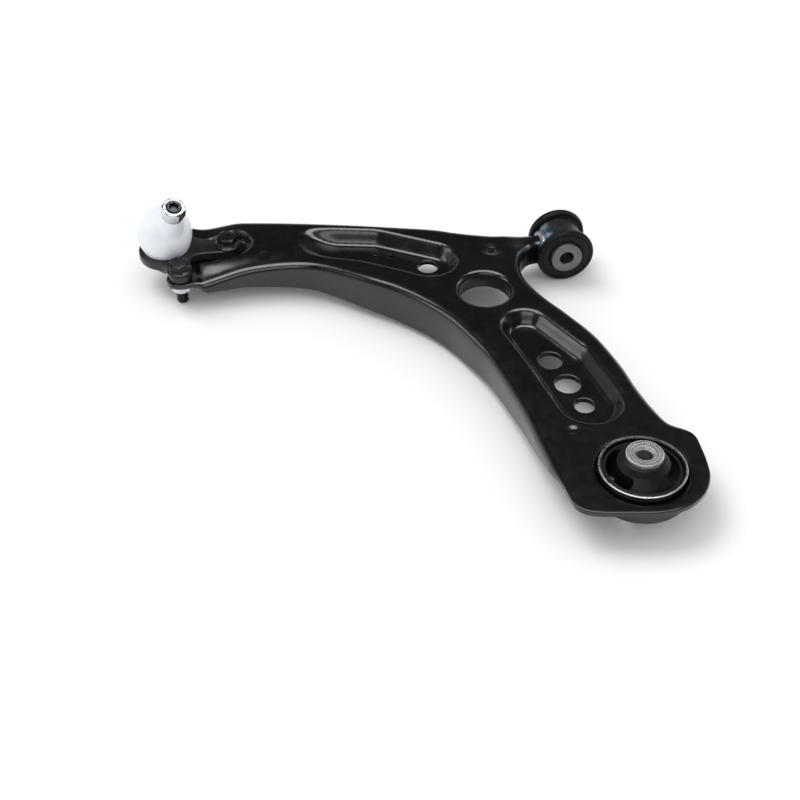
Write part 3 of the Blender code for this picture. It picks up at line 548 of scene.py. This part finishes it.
def loop_distance(xy, loop):
    """The distance from each point to a closed loop."""
    best = np.full(len(xy), 1.0)
    for a, b in zip(loop, np.roll(loop, -1, axis=0)):
        ab = b - a
        u = np.clip((xy - a) @ ab / (ab @ ab), 0, 1)
        best = np.minimum(best, np.linalg.norm(xy - a - u[:, None] * ab, axis=1))
    return best


def bent_share(depth):
    """0 where the edge is only cut, 1 where it is a full flange."""
    return smooth((depth - SHEET) / 0.006)


def edge_profile(radius, depth, steps=5):
    """Points of a turned edge as (outwards, down): those of the outer skin, and those of the inner."""
    flange = float(bent_share(depth))
    inner = max(radius - SHEET, 0.0006)
    angles = [math.pi / 2 * (j + 1) / steps for j in range(steps)]
    outer_bent = [(radius * math.sin(a), radius * (1 - math.cos(a))) for a in angles]
    outer_bent += [(radius, radius + (depth - radius) * (j + 1) / 3) for j in range(3)]
    inner_bent = [(inner * math.sin(a), SHEET + inner * (1 - math.cos(a))) for a in angles]
    inner_bent += [(inner, SHEET + inner + (depth - SHEET - inner) * (j + 1) / 3) for j in range(3)]
    outer_plain = [(radius * math.sin(a), radius * (1 - math.cos(a))) for a in angles]
    outer_plain += [(radius, radius + (SHEET - radius) * (j + 1) / 3) for j in range(3)]
    count = len(outer_plain)
    inner_plain = [(0.85 * radius * (j + 1) / count, SHEET) for j in range(count)]

    def mix(plain, bent):
        return [tuple(p + (b - p) * flange for p, b in zip(pp, bb)) for pp, bb in zip(plain, bent)]

    return mix(outer_plain, outer_bent), mix(inner_plain, inner_bent)


def staggered(lo, hi, pitch):
    """Points in rows, every other row shifted by half a pitch."""
    rows = np.arange(lo[1], hi[1], pitch * 0.866)
    return np.array([(x + (k % 2) * pitch / 2, y)
                     for k, y in enumerate(rows) for x in np.arange(lo[0], hi[0], pitch)])


def arm_mesh(spacing):
    """The pressed arm as one closed sheet: a top and a bottom skin joined round every edge."""
    rim = smooth_outline(OUTLINE, spacing)
    flange = bent_share(rim[:, 2])
    rim_bend = CUT_EDGE_R + (EDGE_BEND_R + EDGE_SOFTENING - CUT_EDGE_R) * flange
    along = np.roll(rim, -4, axis=0) - np.roll(rim, 4, axis=0)
    outward = np.stack((along[:, 1], -along[:, 0]), axis=1)
    outward /= np.linalg.norm(outward, axis=1)[:, None]
    rim[:, :2] -= outward * (EDGE_SOFTENING * flange)[:, None]
    loops = [(rim[:, :2], rim[:, 2], rim_bend)]
    for x, y, radius, bend, depth in HOLES:
        segments = max(24, round(2 * math.pi * (radius + bend) / spacing))
        ring = np.array(circle(x, y, radius + bend, segments))[::-1]
        loops.append((ring, np.full(len(ring), depth), np.full(len(ring), bend)))

    lo, hi = rim[:, :2].min(0), rim[:, :2].max(0)
    grid = staggered(lo, hi, spacing)
    keep = is_inside(grid, loops[0][0]) & (loop_distance(grid, loops[0][0]) > 0.55 * spacing)
    for x, y, radius, bend, depth in HOLES:
        keep &= np.hypot(grid[:, 0] - x, grid[:, 1] - y) > radius + bend + 0.5 * spacing
    points = [loop for loop, _, _ in loops] + [grid[keep]]
    edges, first = [], 0
    for loop, _, _ in loops:
        edges += [(first + k, first + (k + 1) % len(loop)) for k in range(len(loop))]
        first += len(loop)
    flat = np.vstack(points)
    tris = delaunay_2d_cdt([Vector(p) for p in flat], edges, [], 0, 1e-7)[2]
    centres = np.array([flat[list(t)].mean(0) for t in tris])
    solid = is_inside(centres, loops[0][0])
    for loop, _, _ in loops[1:]:
        solid &= ~is_inside(centres, loop)

    bm = bmesh.new()
    z = top_height(flat)
    top = [bm.verts.new((x, y, h)) for (x, y), h in zip(flat, z)]
    low = [bm.verts.new((x, y, h - SHEET)) for (x, y), h in zip(flat, z)]
    for keep_face, t in zip(solid, tris):
        if keep_face:
            bm.faces.new([top[k] for k in t])
            bm.faces.new([low[k] for k in reversed(t)])
    first = 0
    for loop, depths, bends in loops:
        add_edge(bm, top, low, first, loop, depths, bends)
        first += len(loop)
    return bm


def add_edge(bm, top, low, first, loop, depths, bends):
    """Turns the edge of both skins down along one loop, and closes it at the bottom."""
    count = len(loop)
    along = np.roll(loop, -1, axis=0) - np.roll(loop, 1, axis=0)
    outward = np.stack((along[:, 1], -along[:, 0]), axis=1)
    outward /= np.linalg.norm(outward, axis=1)[:, None]
    columns = []
    for k in range(count):
        outer, inner = edge_profile(float(bends[k]), float(depths[k]))
        z = top[first + k].co.z

        def place(out, down):
            x, y = loop[k] + outward[k] * out
            return bm.verts.new((x, y, z - down))

        skin = [top[first + k]] + [place(*p) for p in outer]
        back = [low[first + k]] + [place(*p) for p in inner]
        columns.append(skin + back[::-1])
    for a, b in zip(columns, columns[1:] + columns[:1]):
        for k in range(len(a) - 1):
            bm.faces.new((a[k], b[k], b[k + 1], a[k + 1]))


def make_arm():
    arm = add_piece("pressed_arm", arm_mesh(ARM_SPACING), "coated_sheet", None)
    tube_r = size("front_eye_tube").x / 2 + GAP
    seat = turned([(0, -0.03), (tube_r, -0.03), (tube_r, 0.03), (0, 0.03)], 96)
    apply_boolean(arm, seat, matrix=along_y(FRONT.x, FRONT.y, FRONT.z))
    arm.data.shade_smooth()
    arm.data.set_sharp_from_angle(angle=math.radians(50))
    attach(arm, "arm")
    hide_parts("arm_shell")


# --- front bush -------------------------------------------------------------------------------
def make_front_bush():
    here = along_y(FRONT.x, FRONT.y, FRONT.z)
    tube, sleeve = size("front_eye_tube"), size("front_bush_outer_sleeve")
    rubber, inner = size("front_bush_rubber"), size("front_bush_inner_sleeve")
    half = tube.y / 2
    tube_in = sleeve.x / 2 + GAP
    ring = rounded(ring_section(tube_in, tube.x / 2, -half, half), 0.0006)
    add_piece("eye_tube", turned(ring, 96), "coated_sheet", "arm", ["front_eye_tube"], here,
              look="tube_coat")
    outer_in = sleeve.x / 2 - 0.0012
    ring = rounded(ring_section(outer_in, sleeve.x / 2, -half, half), 0.0003)
    add_piece("front_outer_sleeve", turned(ring, 96), "plain_steel", "arm",
              ["front_bush_outer_sleeve"], here)
    r_in, r_mid, r_out = inner.x / 2 + GAP, outer_in - GAP, rubber.x / 2
    face, end = half + GAP, rubber.y / 2
    # half of the rubber's section, from its inner edge over the flange to the sleeve, as
    # (radius, distance from the middle, rounding)
    half_face = [
        (r_in, end - 0.0012, 0.0003), (r_in + 0.0012, end - 0.0004, 0.0004),
        (r_out - 0.0046, end - 0.0004, 0.0004), (r_out - 0.0038, end - 0.0010, 0.0004),
        (r_out - 0.0030, end - 0.0003, 0.0005), (r_out - 0.0016, end, 0.0008),
        (r_out - 0.0002, end - 0.0013, 0.0008), (r_out, end - 0.0030, 0.001),
        (r_out - 0.0006, face + 0.0010, 0.0008), (r_out - 0.0020, face, 0.0006),
        (tube.x / 2 + 0.0014, face + 0.0006, 0.0004), (tube.x / 2, face, 0.0002), (r_mid, face, 0.0002),
    ]
    outline = [(r, -z) for r, z, _ in half_face] + [(r, z) for r, z, _ in half_face[::-1]]
    radii = [rounding for _, _, rounding in half_face + half_face[::-1]]
    add_piece("front_rubber", turned(rounded(outline, radii), 96), "bush_rubber", "arm",
              ["front_bush_rubber"], here)
    length = inner.y / 2
    ring = rounded(ring_section(BORE_R, inner.x / 2, -length, length), [0.0011, 0.0006, 0.0006, 0.0011])
    add_piece("front_inner_sleeve", turned(ring, 96), "dull_steel", "front_sleeve",
              ["front_bush_inner_sleeve"], here)


def make_weld():
    """The weld run round the arm's neck where it meets the eye tube, with rippled beads."""
    tube_r = size("front_eye_tube").x / 2
    bead_r, turns, segments = 0.0027, 40, 12
    # the run up one side of the neck, over it and down the other, as (height over the tube's axis,
    # place along the tube)
    run = [
        (-0.0105, -0.0090), (-0.0040, -0.0098), (0.0030, -0.0096), (0.0078, -0.0080),
        (0.0100, -0.0040), (0.0104, 0.0), (0.0100, 0.0040), (0.0078, 0.0080), (0.0030, 0.0096),
        (-0.0040, 0.0098), (-0.0105, 0.0090),
    ]
    closed = smooth_outline([(h, y, 0) for h, y in run], 0.0005)
    path = [Vector((h, y)) for h, y, _ in closed if abs(y) > 0.0088 or h > -0.0100]
    start = next(k for k in range(len(path)) if (path[k] - path[k - 1]).length > 0.004)
    path = path[start:] + path[:start]
    bm = bmesh.new()
    rings = []
    count = len(path)
    for k, (h, y) in enumerate(path):
        before, after = path[max(k - 1, 0)], path[min(k + 1, count - 1)]
        out = math.sqrt(tube_r**2 - h**2)
        here = Vector((FRONT.x - out - 0.0003, FRONT.y + y, FRONT.z + h))
        outward = Vector((-out, 0, h)).normalized()
        along = Vector((0, after.y - before.y, after.x - before.x)).normalized()
        side = outward.cross(along).normalized()
        wave = abs(2 * ((k / count * turns) % 1) - 1)
        end = min(1.0, 0.4 + 0.15 * min(k, count - 1 - k))
        r = bead_r * (1 - 0.14 * wave) * end
        rings.append([bm.verts.new(here + (side * math.cos(a) * 1.2 + outward * math.sin(a)) * r)
                      for a in (2 * math.pi * j / segments for j in range(segments))])
    join_rings(bm, rings, closed=False)
    bm.faces.new(rings[0][::-1])
    bm.faces.new(rings[-1])
    add_piece("neck_weld", bm, "coated_sheet", "arm", sharp=60, look="heat_tint")


# --- rear bush --------------------------------------------------------------------------------
def kidney(heading, r0=0.0195, r1=0.0265, spread=math.radians(46), steps=14):
    """A kidney-shaped post that cuts one void through the rubber."""
    start, stop = heading - spread, heading + spread
    mid, half = (r0 + r1) / 2, (r1 - r0) / 2

    def arc(radius, first, last):
        angles = [first + (last - first) * k / steps for k in range(steps + 1)]
        return [(radius * math.cos(a), radius * math.sin(a)) for a in angles]

    def round_end(angle, first_turn):
        cx, cy = mid * math.cos(angle), mid * math.sin(angle)
        turns = [angle + math.radians(first_turn + t) for t in (22, 45, 67, 90, 112, 135, 157)]
        return [(cx + half * math.cos(t), cy + half * math.sin(t)) for t in turns]

    outline = arc(r1, start, stop) + round_end(stop, 0) + arc(r0, stop, start) + round_end(start, 180)
    return prism(outline, -0.002, 0.060)


def prism(outline, z0, z1):
    bm = bmesh.new()
    low = [bm.verts.new((x, y, z0)) for x, y in outline]
    high = [bm.verts.new((x, y, z1)) for x, y in outline]
    bm.faces.new(low[::-1])
    bm.faces.new(high)
    for k in range(len(outline)):
        n = (k + 1) % len(outline)
        bm.faces.new((low[k], low[n], high[n], high[k]))
    return bm


def serrated(top, radii, teeth, depth):
    """Shape function: two rings of short radial notches in the end faces of a sleeve."""
    notched = set(radii[2:4] + radii[6:8])

    def shape(angle, radius, z):
        if radius in notched and (z == 0 or z == top):
            wave = abs(2 * ((angle * teeth / (2 * math.pi)) % 1) - 1)
            cut = depth * float(smooth((wave - 0.30) / 0.25))
            return radius, z - cut if z else cut
        return radius, z

    return shape


def make_rear_bush():
    teeth_count, points_per_tooth, tooth_depth = 36, 10, 0.0014
    here = Matrix.Translation((REAR.x, REAR.y, 0))
    low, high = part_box("rear_bush_outer_sleeve")
    outer_in = SLEEVE_R - 0.0025
    bare = SLEEVE_R - 0.0015  # outside this the sleeve's rim is bare steel; the rest gets the black coat as painted shade below the rim
    section = ring_section(outer_in, SLEEVE_R, low.z, high.z)
    section.insert(3, (bare, high.z))
    ring = rounded(section, [0.0007, 0.0007, 0.0005, 0, 0.0007])
    sleeve = add_piece("rear_outer_sleeve", turned(ring, 128), "plain_steel", "arm",
                       ["rear_bush_outer_sleeve"], here)
    # the black coat on the sleeve's walls is painted shade: it darkens the wall below the bare steel rim
    sleeve.data.materials.append(LOOKS["coated_sheet"])
    for face in sleeve.data.polygons:
        away = math.hypot(face.center.x - REAR.x, face.center.y - REAR.y)
        face.material_index = 0 if face.center.z > high.z - 0.0006 and away > bare - 0.0001 else 1
    inner = size("rear_bush_inner_sleeve")
    inner_r, top = inner.x / 2, inner.z
    r_in, r_out = inner_r + GAP, outer_in - GAP
    outline = [
        (r_in, 0.006), (0.022, 0.009), (r_out, 0.0135), (r_out, high.z - 0.0022),
        (0.0270, high.z - 0.0026), (0.0250, 0.0378), (0.0190, 0.0425), (0.0162, 0.0470),
        (r_in, 0.0482),
    ]
    block = add_piece("rear_rubber", turned(rounded(outline, 0.0015, 5), 128), "bush_rubber", None,
                      (), here)
    for heading in (0.0, math.pi):
        apply_boolean(block, kidney(heading), matrix=here)
    block.data.shade_smooth()
    block.data.set_sharp_from_angle(angle=math.radians(40))
    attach(block, "arm")
    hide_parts("rear_bush_rubber")
    mouth = BORE_R + 0.0015
    radii = [mouth, mouth + 0.0006, mouth + 0.0007, mouth + 0.0024, mouth + 0.0025, inner_r - 0.0033,
             inner_r - 0.0032, inner_r - 0.0011, inner_r - 0.0010, inner_r - 0.0004]
    section = [(BORE_R, 0.0026)] + [(r, 0) for r in radii]
    section += [(inner_r, 0.0005), (inner_r, top - 0.0005)]
    section += [(r, top) for r in radii[::-1]] + [(BORE_R, top - 0.0026)]
    teeth = serrated(top, radii, teeth_count, tooth_depth)
    bm = turned(section, teeth_count * points_per_tooth, teeth)
    add_piece("rear_inner_sleeve", bm, "bright_steel", "rear_sleeve", ["rear_bush_inner_sleeve"], here,
              sharp=20)


# --- ball joint -------------------------------------------------------------------------------
def plate_outline(step):
    """The plate's outline: a round end outboard of the ball, and the measured sides."""
    angles = [math.radians(a) for a in range(108, 250, 20)]
    disc = [(BALL.x + PLATE_R * math.cos(a), BALL.y + PLATE_R * math.sin(a), 0) for a in angles]
    sides = [(x, y, 0) for x, y in PLATE_SIDES]
    return [(x, y) for x, y, _ in smooth_outline(disc + sides, step)]


def bevel(obj, width, segments, angle=35.0):
    mod = obj.modifiers.new("bevel", "BEVEL")
    mod.width = width
    mod.segments = segments
    mod.limit_method = "ANGLE"
    mod.angle_limit = math.radians(angle)
    mod.harden_normals = False


def make_housing():
    low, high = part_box("ball_joint_housing")
    here = Matrix.Translation((BALL.x, BALL.y, 0))
    bm = prism(plate_outline(0.0015), PAD_Z + GAP, high.z)
    plate = add_piece("joint_housing", bm, "forged_steel", None)
    cup_r, floor = 0.0162, low.z
    cup = [(0, floor), (0.0070, floor), (0.0120, 0.0122), (0.0148, 0.0168), (cup_r, 0.0215),
           (cup_r, high.z - 0.001), (0, high.z - 0.001)]
    apply_boolean(plate, turned(rounded(cup, [0, 0.002, 0.003, 0.003, 0.003, 0, 0], 6), 96), "UNION", here)
    bevel(plate, 0.0012, 3)
    apply_modifiers(plate)
    seat = size("ball_seat").x / 2 + GAP
    cover = size("ball_joint_cover").x / 2 + GAP
    bowl = [(seat * math.cos(math.radians(a)), BALL.z + seat * math.sin(math.radians(a)))
            for a in range(-60, 1, 5)]
    socket = [(0, floor - 0.001), (cover, floor - 0.001), (cover, 0.0135)] + bowl
    socket += [(seat, 0.030), (0.0111, 0.030), (0.0125, high.z + 0.002), (0, high.z + 0.002)]
    apply_boolean(plate, turned(socket, 64), "DIFFERENCE", here)
    for p in BOLT_PLACES:
        apply_boolean(plate, prism(circle(p.x, p.y, BOLT_HOLE_R, 40), PAD_Z - 0.003, high.z + 0.004))
    plate.data.shade_smooth()
    plate.data.set_sharp_from_angle(angle=math.radians(32))
    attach(plate, "arm")
    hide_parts("ball_joint_housing")


THREAD_PITCH = 0.0015
THREAD_DEPTH = 0.0008


def thread_shape(pitch, depth, z0, z1):
    """Shape function: a helical thread between z0 and z1, running out at both ends."""
    def shape(angle, radius, z):
        turn = (z / pitch - angle / (2 * math.pi)) % 1
        share = smooth((z - z0) / pitch) * smooth((z1 - z) / pitch)
        return radius - depth * abs(2 * turn - 1) * float(share), z
    return shape


def make_stud():
    neck, shank, thread = 0.0062, 0.0066, 0.0058
    radius, top, start = 0.0115, 0.0680, 0.0400
    angles = [math.radians(a) for a in range(-84, 54, 6)]
    profile = [(0, -radius)] + [(radius * math.cos(a), radius * math.sin(a)) for a in angles]
    profile += [(neck, 0.0092), (neck, 0.0150), (shank + 0.0006, 0.0200), (shank, 0.0380),
                (thread, start)]
    rows = int((top - 0.0006 - start) / 0.00025)
    profile += [(thread, start + (top - 0.0006 - start) * (k + 1) / rows) for k in range(rows)]
    # the end of the thread, and the driving recess in the stud's end
    profile += [(thread - 0.0006, top), (0.0042, top), (0.0040, top - 0.0004), (0.0038, top - 0.0045),
                (0, top - 0.0050)]
    helix = thread_shape(THREAD_PITCH, THREAD_DEPTH, start, top - 0.001)

    def shape(angle, r, z):
        if z > top - 0.0050 and r < 0.0045:
            return r + 0.00045 * math.cos(6 * angle), z
        return helix(angle, r, z) if start < z < top - 0.0005 else (r, z)

    add_piece("stud", turned(profile, 72, shape), "stud_steel", "stud", ["ball_stud"], STUD)


def hexagon_radius(af, angle):
    flat = (angle + math.pi / 6) % (math.pi / 3) - math.pi / 6
    return af / 2 / math.cos(flat)


def hexagon_shape(af, face_r=0.0, rise=0.0, side=0):
    """Shape function: radius becomes a distance outside a hexagon. side says which way a cone of
    slope rise, from the radius face_r, cuts the corners: 1 upwards, -1 downwards."""
    def shape(angle, radius, z):
        corner = hexagon_radius(af, angle)
        return corner + radius, z + side * (corner - face_r) * rise
    return shape


def hex_solid(af, height, bore, foot=0.0):
    """A hexagon nut standing on z = 0, its corners chamfered at both ends. foot is the height of a
    round washer face below the hexagon."""
    face_r = af / 2 * 0.97
    rise = math.tan(math.radians(30))
    lower = hexagon_shape(af, face_r, rise, 1)
    upper = hexagon_shape(af, face_r, rise, -1)
    section = [
        (bore, 0.0005, None), (bore + 0.0005, 0, None), (face_r, 0, None), (face_r, foot, None),
        (0.0, foot, lower), (0.0, height, upper), (face_r, height, None),
        (bore + 0.0008, height, None), (bore, height - 0.0008, None),
    ]
    bm = bmesh.new()
    join_rings(bm, [add_ring(bm, 96, *point) for point in section])
    return bm


def make_stud_nut():
    seat = STUD @ Matrix.Translation((0, 0, 0.0560))
    add_piece("stud_hex_nut", hex_solid(0.018, 0.0112, BORE_R, 0.0004), "zinc_plate", "stud",
              ["stud_nut"], seat, sharp=25)


def from_pole(spread, angle):
    """The direction that leans by spread from +Z, at angle round it."""
    return Vector((math.sin(spread) * math.cos(angle), math.sin(spread) * math.sin(angle),
                   math.cos(spread)))


def cap_skin(pole, opening_r, radius, foot_r, centre, wall):
    """A thin dome with a foot lip and an opening round the stud."""
    segments, steps = 96, 26
    opening = math.asin(opening_r / radius)
    low = -math.acos(foot_r / radius)
    drop = (centre.z - CAP_FOOT_Z) / -math.sin(low) / radius
    turn = pole.to_track_quat("Z", "Y")
    bm = bmesh.new()

    def ring(r, share, out=0.0):
        made = []
        for k in range(segments):
            a = 2 * math.pi * k / segments
            near = turn @ from_pole(opening, a)
            heading = Vector((near.x - pole.x, near.y - pole.y, 0)).normalized()
            far = heading * math.cos(low) + Vector((0, 0, math.sin(low)))
            place = near.slerp(far, share) * (r + out)
            if place.z < 0:
                place.z *= drop * radius / (r + out)
            made.append(bm.verts.new(centre + place))
        return made

    def lip(share):
        return 0.0004 * math.exp(-((1 - share) / 0.035) ** 2)

    shares = [k / steps for k in range(steps + 1)]
    rings = [ring(radius, s, lip(s)) for s in shares]
    rings += [ring(radius - wall, s) for s in reversed(shares)]
    join_rings(bm, rings)
    return bm


def make_cap():
    low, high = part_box("protective_cap")
    radius = size("protective_cap").x / 2 + 0.0003
    centre = Vector(((low.x + high.x) / 2, (low.y + high.y) / 2, CAP_FOOT_Z + 0.0165))
    start = BALL - centre
    b = start.dot(STUD_AXIS)
    reach = -b + math.sqrt(b * b - start.length_squared + radius**2)
    pole = (start + STUD_AXIS * reach).normalized()
    bm = cap_skin(pole, 0.0112, radius, 0.0195, centre, 0.0011)
    cap = add_piece("white_cap", bm, "cap_plastic", None, sharp=60)
    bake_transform(cap)
    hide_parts("protective_cap")
    make_cap_neck(centre, radius, pole)


def make_cap_neck(centre, radius, pole):
    """The cap's soft neck: it lies on the dome round its opening and rises to the stud's nut."""
    top, wall, segments = 0.0553, 0.0009, 96
    skirt = radius + 0.0002
    spread = math.radians(34)  # how far from the dome's pole the neck meets it
    bm = bmesh.new()
    turn = pole.to_track_quat("Z", "Y")

    def point(a, share, inset):
        low = turn @ from_pole(spread, a) * (skirt - inset) + centre
        high = STUD @ Vector((NECK_R * math.cos(a), NECK_R * math.sin(a), top))
        high += (STUD.to_3x3() @ Vector((-math.cos(a), -math.sin(a), 0))) * inset
        sweep = turn @ Vector((math.cos(a) * math.cos(spread), math.sin(a) * math.cos(spread),
                               -math.sin(spread)))
        bend = low - sweep * 0.0045
        return low * (1 - share) ** 2 + bend * 2 * share * (1 - share) + high * share**2

    steps = 14
    rings = []
    for inset, shares in ((0.0, range(steps + 1)), (wall, range(steps, -1, -1))):
        for k in shares:
            rings.append([bm.verts.new(point(2 * math.pi * j / segments, k / steps, inset))
                          for j in range(segments)])
    join_rings(bm, rings)
    neck = add_piece("cap_neck", bm, "cap_plastic", None, sharp=60)
    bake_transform(neck)


def make_boot():
    foot, reach, wall, segments = CAP_FOOT_Z, 0.0290, 0.0012, 64
    stations = [(0.0133, 0.0), (0.0133, 0.10), (0.0166, 0.32), (0.0152, 0.62), (0.0116, 0.79),
                (0.0089, 0.88), (0.0089, 1.0)]
    bm = bmesh.new()

    def ring(radius, share):
        level = Matrix.Translation((BALL.x, BALL.y, foot + share * (reach + BALL.z - foot)))
        leaning = STUD @ Matrix.Translation((0, 0, reach * (0.25 + 0.75 * share)))
        made = []
        for k in range(segments):
            a = 2 * math.pi * k / segments
            p = Vector((radius * math.cos(a), radius * math.sin(a), 0))
            made.append(bm.verts.new((level @ p).lerp(leaning @ p, float(smooth(share)))))
        return made

    fine = []
    for (r0, s0), (r1, s1) in zip(stations, stations[1:]):
        for k in range(4):
            t = k / 4
            fine.append((r0 + (r1 - r0) * float(smooth(t)), s0 + (s1 - s0) * t))
    fine.append(stations[-1])
    rings = [ring(r, s) for r, s in fine] + [ring(r - wall, s) for r, s in reversed(fine)]
    join_rings(bm, rings)
    boot = add_piece("rubber_boot", bm, "boot_rubber", None)
    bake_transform(boot)
    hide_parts("dust_boot")


# --- fasteners --------------------------------------------------------------------------------
def bolt_solid(head_top, length):
    """A flange bolt whose flange stands on z = 0, with its threaded shank below."""
    af, flange_r, r, segments = 0.0155, 0.0108, 0.005, 96
    thread_end = 0.0115  # how far under the flange the thread stops
    face_r = af / 2 * 0.95
    helix = thread_shape(THREAD_PITCH, THREAD_DEPTH, -length + 0.0002, -0.012)
    rows = int((length - thread_end) / 0.00028)
    heights = [-length + 0.0010 + (length - thread_end) * j / rows for j in range(rows)]
    section = [(r - 0.0011, -length, None)] + [(r, z, helix) for z in heights]
    section += [
        (r, 0, None), (flange_r - 0.0004, 0, None), (flange_r, 0.0004, None),
        (flange_r, 0.0012, None), (flange_r - 0.0008, 0.0017, None),
        (0.0003, 0.0029, hexagon_shape(af)), (0.0, 0.0034, hexagon_shape(af)),
        (0.0, head_top, hexagon_shape(af, face_r, math.tan(math.radians(28)), -1)),
        (face_r, head_top, None), (af / 2 * 0.74, head_top - 0.0001, None),
        (af / 2 * 0.66, head_top - 0.0007, None),
    ]
    bm = bmesh.new()
    rings = [[bm.verts.new((0, 0, -length))]]
    rings += [add_ring(bm, segments, *point) for point in section]
    rings.append([bm.verts.new((0, 0, head_top - 0.0008))])
    join_rings(bm, rings, closed=False)
    return bm


def make_fasteners():
    head_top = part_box("flange_bolt_1")[1].z - PLATE_TOP - GAP
    for k, p in enumerate(BOLT_PLACES):
        seat = Matrix.Translation((p.x, p.y, PLATE_TOP + GAP)) @ Matrix.Rotation(0.4 + 0.7 * k, 4, "Z")
        add_piece(f"bolt_{k + 1}", bolt_solid(head_top, PLATE_TOP), "black_bolt", "arm",
                  [f"flange_bolt_{k + 1}"], seat, sharp=28)
        low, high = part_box(f"flange_nut_{k + 1}")
        under = Matrix.Translation((p.x, p.y, high.z)) @ Matrix.Rotation(0.9 * k, 4, "Z")
        under = under @ Matrix.Rotation(math.pi, 4, "X")
        add_piece(f"nut_{k + 1}", hex_solid(0.015, high.z - low.z, 0.005 + GAP, 0.0006), "zinc_plate",
                  "arm", [f"flange_nut_{k + 1}"], under, sharp=25)


def dress_hidden_nodes():
    for node, slot in (("ball_seat", "cap_plastic"), ("ball_joint_cover", "forged_steel"),
                       ("boot_ring_lower", "plain_steel"), ("boot_ring_upper", "plain_steel")):
        mesh = frame["nodes"][node].data
        mesh.materials.clear()
        mesh.materials.append(LOOKS[slot])


# --- stage ------------------------------------------------------------------------------------
def make_world(scene):
    """A dark studio ceiling over a pale horizon."""
    world = bpy.data.worlds.new("studio")
    scene.world = world
    world.use_nodes = True
    tree = world.node_tree
    place = tree.nodes.new("ShaderNodeTexCoord")
    split = tree.nodes.new("ShaderNodeSeparateXYZ")
    ramp = tree.nodes.new("ShaderNodeValToRGB")
    tree.links.new(place.outputs["Generated"], split.inputs[0])
    tree.links.new(split.outputs["Z"], ramp.inputs["Fac"])
    tree.links.new(ramp.outputs["Color"], tree.nodes["Background"].inputs["Color"])
    elements = ramp.color_ramp.elements
    while len(elements) < len(SKY):
        elements.new(0.5)
    for element, (position, value) in zip(elements, SKY):
        element.position = position
        element.color = (value, value, value * 1.03, 1)


def add_light(name, kind, place, aim, energy, **settings):
    light = bpy.data.lights.new(name, kind)
    light.energy = energy
    for key, value in settings.items():
        setattr(light, key, value)
    lamp = bpy.data.objects.new(name, light)
    bpy.context.scene.collection.objects.link(lamp)
    lamp.location = place
    lamp.rotation_euler = (Vector(aim) - Vector(place)).to_track_quat("-Z", "Y").to_euler()
    return lamp


def make_stage():
    scene = bpy.context.scene
    scene.view_settings.view_transform = "Standard"
    make_world(scene)

    mesh = bpy.data.meshes.new("floor")
    corners = [(-9, -9, -0.0001), (9, -9, -0.0001), (9, 9, -0.0001), (-9, 9, -0.0001)]
    mesh.from_pydata(corners, [], [(0, 1, 2, 3)])
    floor = bpy.data.objects.new("floor", mesh)
    scene.collection.objects.link(floor)
    pale = bpy.data.materials.new("pale_floor")
    pale.use_nodes = True
    sockets = pale.node_tree.nodes["Principled BSDF"].inputs
    sockets["Base Color"].default_value = (0.95, 0.95, 0.96, 1)
    sockets["Roughness"].default_value = 0.9
    sockets["Specular IOR Level"].default_value = 0.1
    mesh.materials.append(pale)

    centre = (0.0, 0.0, 0.03)
    # two lamps give the even light, and the softboxes give the soft reflections on the gloss
    for lamp in (add_light("dome", "SUN", (0, 0, 2), centre, DOME_SUN, angle=math.radians(170)),
                 add_light("key", "SUN", (-0.9, 0.9, 2.0), centre, KEY_SUN, angle=math.radians(35))):
        lamp.visible_glossy = False
    for name, place, aim, radiance, wide, high in SOFTBOXES:
        lamp = add_light(name, "AREA", place, aim, radiance * math.pi * wide * high,
                         shape="RECTANGLE", size=wide, size_y=high)
        lamp.visible_diffuse = False

    camera = bpy.data.cameras.new("camera")
    camera.lens = 63.0
    camera.sensor_width = 36.0
    shot = bpy.data.objects.new("camera", camera)
    shot.location = (-0.150, -0.858, 0.73786)
    shot.rotation_euler = (math.radians(90 - 41.097), 0, math.radians(-10))
    scene.collection.objects.link(shot)
    scene.camera = shot


make_looks()
make_arm()
make_front_bush()
make_weld()
make_rear_bush()
make_housing()
make_stud()
make_stud_nut()
make_cap()
make_boot()
make_fasteners()
dress_hidden_nodes()
make_stage()
